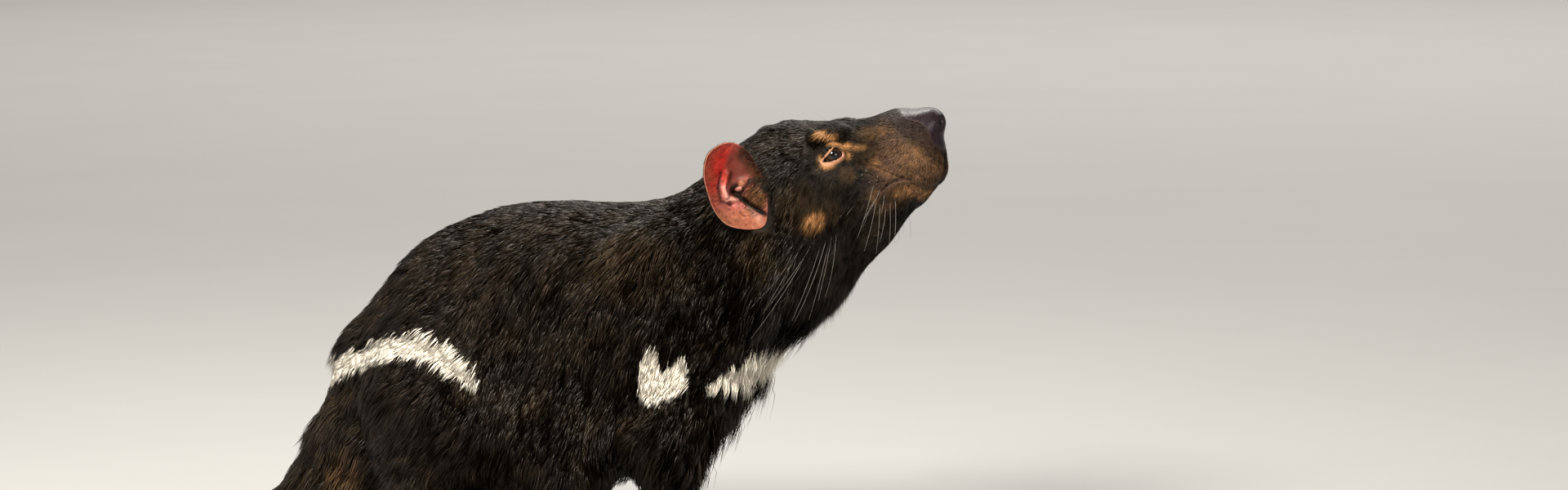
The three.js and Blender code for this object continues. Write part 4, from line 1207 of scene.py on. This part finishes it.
def ear_tint(points, share):
    """Colours of the ear by place, from the canal out to the rim; the dark in the groove, the notch
    and round the canal is painted shade.
    """
    h, v = points.T

    def patch(at, r, low, high):
        return ease(out_of(points, at, r), low, high)

    def stripe(line, low, high):
        return ease(flat_distance(points, line), low, high)

    lines = 0.5 + 0.5 * np.sin(v * 2.3 + 0.5 * h + 1.1 * np.sin(h * 0.8))
    spots = ripple(np.stack([h, v, 0 * h], 1), 4.5, 51, 12)
    colour = np.tile(vec(*EAR_COLOURS["pink"]), (len(points), 1))
    for name, amount in (
        ("coral", ease(h, 8, 14) * ease(v, -22, -4) * 0.9),
        # Red patches: the ear's own red skin and painted glow of light shining through the thin ear
        ("red", patch((8.0, 16), (11, 15), 1.5, 0.3) * 0.95),
        ("red", patch((16, -1), (5, 5), 1.3, 0.5) * 0.6),
        ("wine", patch((-3, 14), (10, 15), 1.2, 0.6) * 0.9),
        ("brown", stripe(((-20, 0), (-13, 12), (-6, 22)), 6.5, 2.0) * 0.92),
        ("tan", stripe(((-19, 4), (-12, 15)), 2.2, 0.8) * 0.6),
        ("wine", patch((-2, 5), (6, 8), 1.2, 0.5) * 0.45),
        ("peach", ease(v, -14, -22) * 0.85),
        ("tan", patch((-16, -9), (7, 11), 1.15, 0.6) * 0.95),
        ("peach", stripe(((-11, -18), (-17, -24)), 4, 2) * 0.7),
        ("pale", stripe(ANTIHELIX[1:], 2.8, 0.9) * 0.9),
        # Painted shade: dark in the helix groove, in the notch and round the canal
        ("dark", stripe(HELIX_GROOVE, 1.7, 0.5) * 0.75),
        ("dark", stripe(NOTCH, 3.0, 0.8)),
        ("dark", patch((-4.5, -4), (5.5, 6.5), 1.2, 0.6)),
        ("peach", patch(TRAGUS[0][0], (1, 1), 3.6, 1.8) * 0.9),
        ("pale", patch(TRAGUS[1][0], (1, 1), 2.4, 1.2) * 0.8),
        ("wine", ease(lines, 0.70, 0.98) * ease(h, 6, 13) * ease(v, -16, -8) * 0.75),
        ("brown", ease(spots, 0.55, 0.95) * ease(share, 1.0, 0.9) * 0.6),
        ("rim", ease(share, 0.97, 0.995) * ease(h, -2, 8) * 0.8),
        ("brown", ease(share, 0.86, 0.98) * ease(h, 2, -8) * ease(v, -6, 2) * 0.9),
    ):
        colour = toward(colour, vec(*EAR_COLOURS[name]), np.clip(amount, 0, 1)[:, None])
    return colour


def make_ear(name, side, material):
    """The cup's inner face out to the rim and its back, as one closed sheet of quads."""
    columns = 132
    turn = np.linspace(-math.pi, math.pi, columns, endpoint=False)
    rim = np.stack([np.cos(turn), np.sin(turn)], 1) * rim_reach(turn)[:, None]
    inner = np.concatenate([np.linspace(0.015, 0.92, 42), np.linspace(0.94, 1.0, 5)])
    outer = np.linspace(1.0, 0.02, 16)
    rows, tints = [], []
    for share, face in [(share, 1) for share in inner] + [(share, -1) for share in outer]:
        flat = EAR_CANAL + rim * share
        lift = np.full(columns, ear_bowl(share))
        shares = np.full(columns, share)
        if face > 0:
            lift = lift + ear_relief(flat) * ease(share, 1.0, 0.88) + 0.5 * ease(share, 0.9, 1.0)
            tints.append(ear_tint(flat, shares))
        else:
            lift = lift - (EAR_RIM_WALL + (EAR_WALL - EAR_RIM_WALL) * (1 - share))
            tints.append(np.tile(vec(*EAR_COLOURS["black"]), (columns, 1)))
        rows.append((flat, lift))
    points = np.concatenate([EAR_AT + flat[:, :1] * EAR_BACK + flat[:, 1:] * UP
                             + lift[:, None] * EAR_OUT for flat, lift in rows]) * on_side(side)
    faces = grid_faces(len(rows), columns)
    faces = faces if side < 0 else faces[:, ::-1]
    piece = add_mesh(name, points, faces, [material])
    tint = np.concatenate(tints)
    paint(piece, np.concatenate([tint, np.ones((len(tint), 1))], 1), "tint")
    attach(piece, "root")
    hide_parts(name)
    return points, faces, piece.data


def ear_flat(p):
    """Back and up in the ear's plane, the share of the way to the rim, and if outside the cup."""
    share, above = ear_place(mirrored(p))
    local = mirrored(p) - EAR_AT
    return local @ EAR_BACK, local[:, 2], share, above < -0.8


def over_ears(p):
    """Unwrap of the ears: each face of each ear flat in its own quarter."""
    back, up, _, outside = ear_flat(p)
    return np.stack([(back + 30) / 130 + 0.5 * (p[:, 1] > 0), (up + 36) / 150 + 0.5 * outside], 1)


def ear_hair_weight(p):
    """Short hair on the backs, over the front edge and on the flap before the canal."""
    back, up, share, outside = ear_flat(p)
    edge = ease(share, 0.84, 0.97) * ease(back, 0, -7) * ease(up, -2, 6)
    flap = ease(out_of(np.stack([back, up], 1), (-16, -9), (7, 11)), 1.2, 0.8)
    rear = 0.14 * ease(share, 0.72, 0.92) * ease(up, -14, -4)
    return np.where(outside, 0.5, np.maximum.reduce([edge, flap, rear]))


EAR_TUFTS = 8500


def grow_ear_coat(ears):
    """Hair of both ears as one piece, rising to the rim outside and swept back inside."""
    rng = np.random.default_rng(150)
    count = EAR_TUFTS // 2
    places, normals = [], []
    for points, quads, mesh in ears:
        weight = ear_hair_weight(points[quads].mean(1))
        at, n = scatter(points, quads, vertex_normals(mesh), count, weight, rng)
        places.append(at)
        normals.append(n)
    at, n = np.concatenate(places), np.concatenate(normals)
    back, up, share, outside = ear_flat(at)
    side = np.stack([np.ones(len(at)), np.sign(at[:, 1]), np.ones(len(at))], 1)
    outward = unit(np.stack([back, up], 1) - EAR_CANAL)
    rising = outward[:, :1] * EAR_BACK + outward[:, 1:] * UP
    swept = 0.85 * EAR_BACK + vec(0, 0, -0.35)
    lie = along_surface(np.where(outside[:, None], rising, swept) * side, n)
    long = np.where(outside, 3.2, 3.8) * rng.uniform(0.7, 1.3, len(at))
    tuft_mesh("coat_ears", at, n, lie, long, 0.42 * rng.uniform(0.7, 1.3, len(at)),
              np.full(len(at), 0.30), 0.2, rng, 1, over_ears)


ear_skin = ear_material()
grow_ear_coat([make_ear(f"ear_{side_name}", side, ear_skin) for side_name, side in SIDES.items()])


# Claws

def tube(path, radii, sides, up):
    """A tapered tube along a path, as points and quads."""
    path = np.asarray(path, float)
    along = unit(np.gradient(path, axis=0))
    across = unit(np.cross(along, up))
    normal = np.cross(across, along)
    turn = np.linspace(0, 2 * math.pi, sides, endpoint=False)[None, :, None]
    circle = across[:, None] * np.cos(turn) + normal[:, None] * np.sin(turn)
    points = path[:, None] + circle * np.asarray(radii)[:, None, None]
    return points.reshape(-1, 3), grid_faces(len(path), sides)


def claw_path(line, long, girth):
    """A claw's curved line from inside the toe's end to its tip by the floor, and its radii."""
    _, knuckle, tip = line
    along = unit((tip - knuckle) * vec(1, 1, 0))
    t = np.linspace(0, 1, 12)
    height = tip[2] + 3.2 + 1.6 * np.sin(math.pi * t * 0.8) - (tip[2] + 1) * t * t
    path = tip * vec(1, 1, 0) + along * (1 + (long + 2) * t)[:, None] + height[:, None] * UP
    return path, girth * (1 - 0.86 * t ** 1.5) * 0.9


def join_tubes(name, tubes, material):
    """One mesh of many tubes, each painted from 0 at its root to 1 at its tip."""
    points, faces, rise, first = [], [], [], 0
    for path, radii, sides, up in tubes:
        ring_points, ring_faces = tube(path, radii, sides, up)
        points.append(ring_points)
        faces.append(ring_faces + first)
        rise.append(np.repeat(np.linspace(0, 1, len(path)), sides))
        first += len(ring_points)
    piece = add_mesh(name, np.concatenate(points), np.concatenate(faces), [material])
    paint(piece, np.repeat(np.concatenate(rise)[:, None], 4, 1))
    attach(piece, "root")
    return piece


CLAW_SIDES = 12
WHISKER_SIDES = 5
claw_tubes, claw_nodes = [], []
for side_name, leg in LEGS.items():
    for word, lines, long, girth in (("fore", leg.fore_toes, 13, 2.9),
                                     ("hind", leg.hind_toes, 10, 2.8)):
        for number, line in enumerate(lines, 1):
            claw_tubes.append((*claw_path(line, long, girth), CLAW_SIDES, UP))
            claw_nodes.append(f"claw_{word}_{side_name}_{number}")
claws = join_tubes("claws", claw_tubes, claw_material())
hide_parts(*claw_nodes)


# Whiskers: a fan behind the mouth, one low on the cheek, a few under the chin and by the eye

def surface_out(start, direction):
    """Walks out from inside the head to the last place inside the skin."""
    line = start + direction * np.linspace(0, 60, 241)[:, None]
    inside = np.nonzero(skin_form(line) < 0)[0]
    return line[inside[-1]]


# Middle and spread of the roots, direction, how it fans out from back to front, sag, lengths
# and count
WHISKER_GROUPS = (
    ((256, 12, 314), (7, 2, 6), (-0.30, 0.30, -0.80), 0.2, (-0.14, 0, -0.10), (22, 40), 5),
    ((224, 30, 277), (14, 2, 6), (-0.34, 0.14, -0.90), 0.34, (-0.16, -0.08, -0.04), (46, 70), 15),
    ((266, 6, 294), (8, 4, 4), (0.02, 0.12, -1.0), 0.2, (-0.10, 0, 0.02), (24, 42), 5),
    ((262, 12, 302), (6, 2, 5), (-0.30, 0.28, -0.9), 0.2, (-0.1, 0, 0), (14, 24), 4),
    ((226, 20, 338), (4, 2, 2), (-0.45, 0.42, 0.55), 0.2, (-0.2, 0, -0.1), (18, 28), 3),
)


def whisker_tubes():
    rng = np.random.default_rng(77)
    tubes = []
    t = np.linspace(0, 1, 14)
    radii = 0.10 * (1 - t) ** 0.7 + 0.035
    for side in SIDES.values():
        for middle, spread, direction, fan, sag, long_range, count in WHISKER_GROUPS:
            for number in range(count):
                across = 2 * (number + 0.5) / count - 1
                place = vec(across, *rng.uniform(-1, 1, 2))
                start = surface_out((vec(*middle) + place * vec(*spread)) * on_side(side),
                                    unit(vec(0.1, side, -0.1)))
                loose = vec(fan * across, 0, 0) + rng.normal(0, 0.07, 3)
                way = unit(vec(*direction) + loose) * on_side(side)
                long = rng.uniform(*long_range)
                bend = (vec(*sag) + rng.normal(0, 0.06, 3)) * on_side(side) * long
                path = start - way * 1.5 + way * (long * t)[:, None] + bend * (t ** 2)[:, None]
                tubes.append((path, radii, WHISKER_SIDES, vec(0.3, 1, 0.2)))
    return tubes


whiskers = join_tubes("whiskers", whisker_tubes(), whisker_material())


# Floor, light and camera

FLOOR_HALF = 30
corners = [(x * FLOOR_HALF, y * FLOOR_HALF, 0) for x, y in ((-1, -1), (1, -1), (1, 1), (-1, 1))]
floor_mesh = bpy.data.meshes.new("floor")
floor_mesh.from_pydata(corners, [], [(0, 1, 2, 3)])
floor_mesh.materials.append(floor_material())
floor = bpy.data.objects.new("floor", floor_mesh)
bpy.context.scene.collection.objects.link(floor)

WORLD_COLOUR = (1.0, 0.96, 0.90, 1)
WORLD_STRENGTH = 0.23
world = bpy.data.worlds.new("studio")
bpy.context.scene.world = world
world.use_nodes = True
background = world.node_tree.nodes["Background"]
background.inputs["Color"].default_value = WORLD_COLOUR
background.inputs["Strength"].default_value = WORLD_STRENGTH

# Place, aim, size and power of each light, and its colour
LIGHTS = {
    "key": ((-0.25, -1.75, 1.45), (0.05, 0, 0.2), (0.55, 0.42), 92, (1.0, 0.95, 0.87)),
    "sky": ((-0.2, 0.4, 1.7), (0.0, 0, 0.2), (1.1, 0.6), 28, (1.0, 0.97, 0.92)),
    "backdrop": ((0.0, 6.0, 4.5), (0.0, 6.0, 0.0), (9.0, 8.0), 640, (1.0, 0.98, 0.94)),
    "fill": ((1.5, -1.5, 0.7), (0.15, 0, 0.2), (1.0, 0.8), 12, (1.0, 0.96, 0.90)),
}
for name, (at, aim, size, power, colour) in LIGHTS.items():
    data = bpy.data.lights.new(name, "AREA")
    data.shape = "RECTANGLE"
    data.size, data.size_y = size
    data.energy = power
    data.color = colour
    lamp = bpy.data.objects.new(name, data)
    lamp.location = at
    lamp.rotation_euler = (Vector(aim) - Vector(at)).to_track_quat("-Z", "Y").to_euler()
    bpy.context.scene.collection.objects.link(lamp)

PHOTO_WIDTH = 1920
CAMERA_AZIMUTH = math.radians(12.0)
CAMERA_ELEVATION = math.radians(7.0)
CAMERA_DISTANCE = 2.6
AIM = vec(190.0, 0.0, 258.0)
MM_PER_PIXEL = 0.58
camera_back = Vector((math.sin(CAMERA_AZIMUTH) * math.cos(CAMERA_ELEVATION),
                      -math.cos(CAMERA_AZIMUTH) * math.cos(CAMERA_ELEVATION),
                      math.sin(CAMERA_ELEVATION)))
camera_data = bpy.data.cameras.new("camera")
camera = bpy.data.objects.new("camera", camera_data)
bpy.context.scene.collection.objects.link(camera)
camera.location = Vector((AIM + SHIFT) * MM) + camera_back * CAMERA_DISTANCE
camera.rotation_euler = (-camera_back).to_track_quat("-Z", "Y").to_euler()
camera_data.sensor_width = 36.0
camera_data.lens = camera_data.sensor_width * CAMERA_DISTANCE / (PHOTO_WIDTH * MM_PER_PIXEL * MM)
bpy.context.scene.camera = camera
bpy.context.scene.view_settings.view_transform = "Standard"
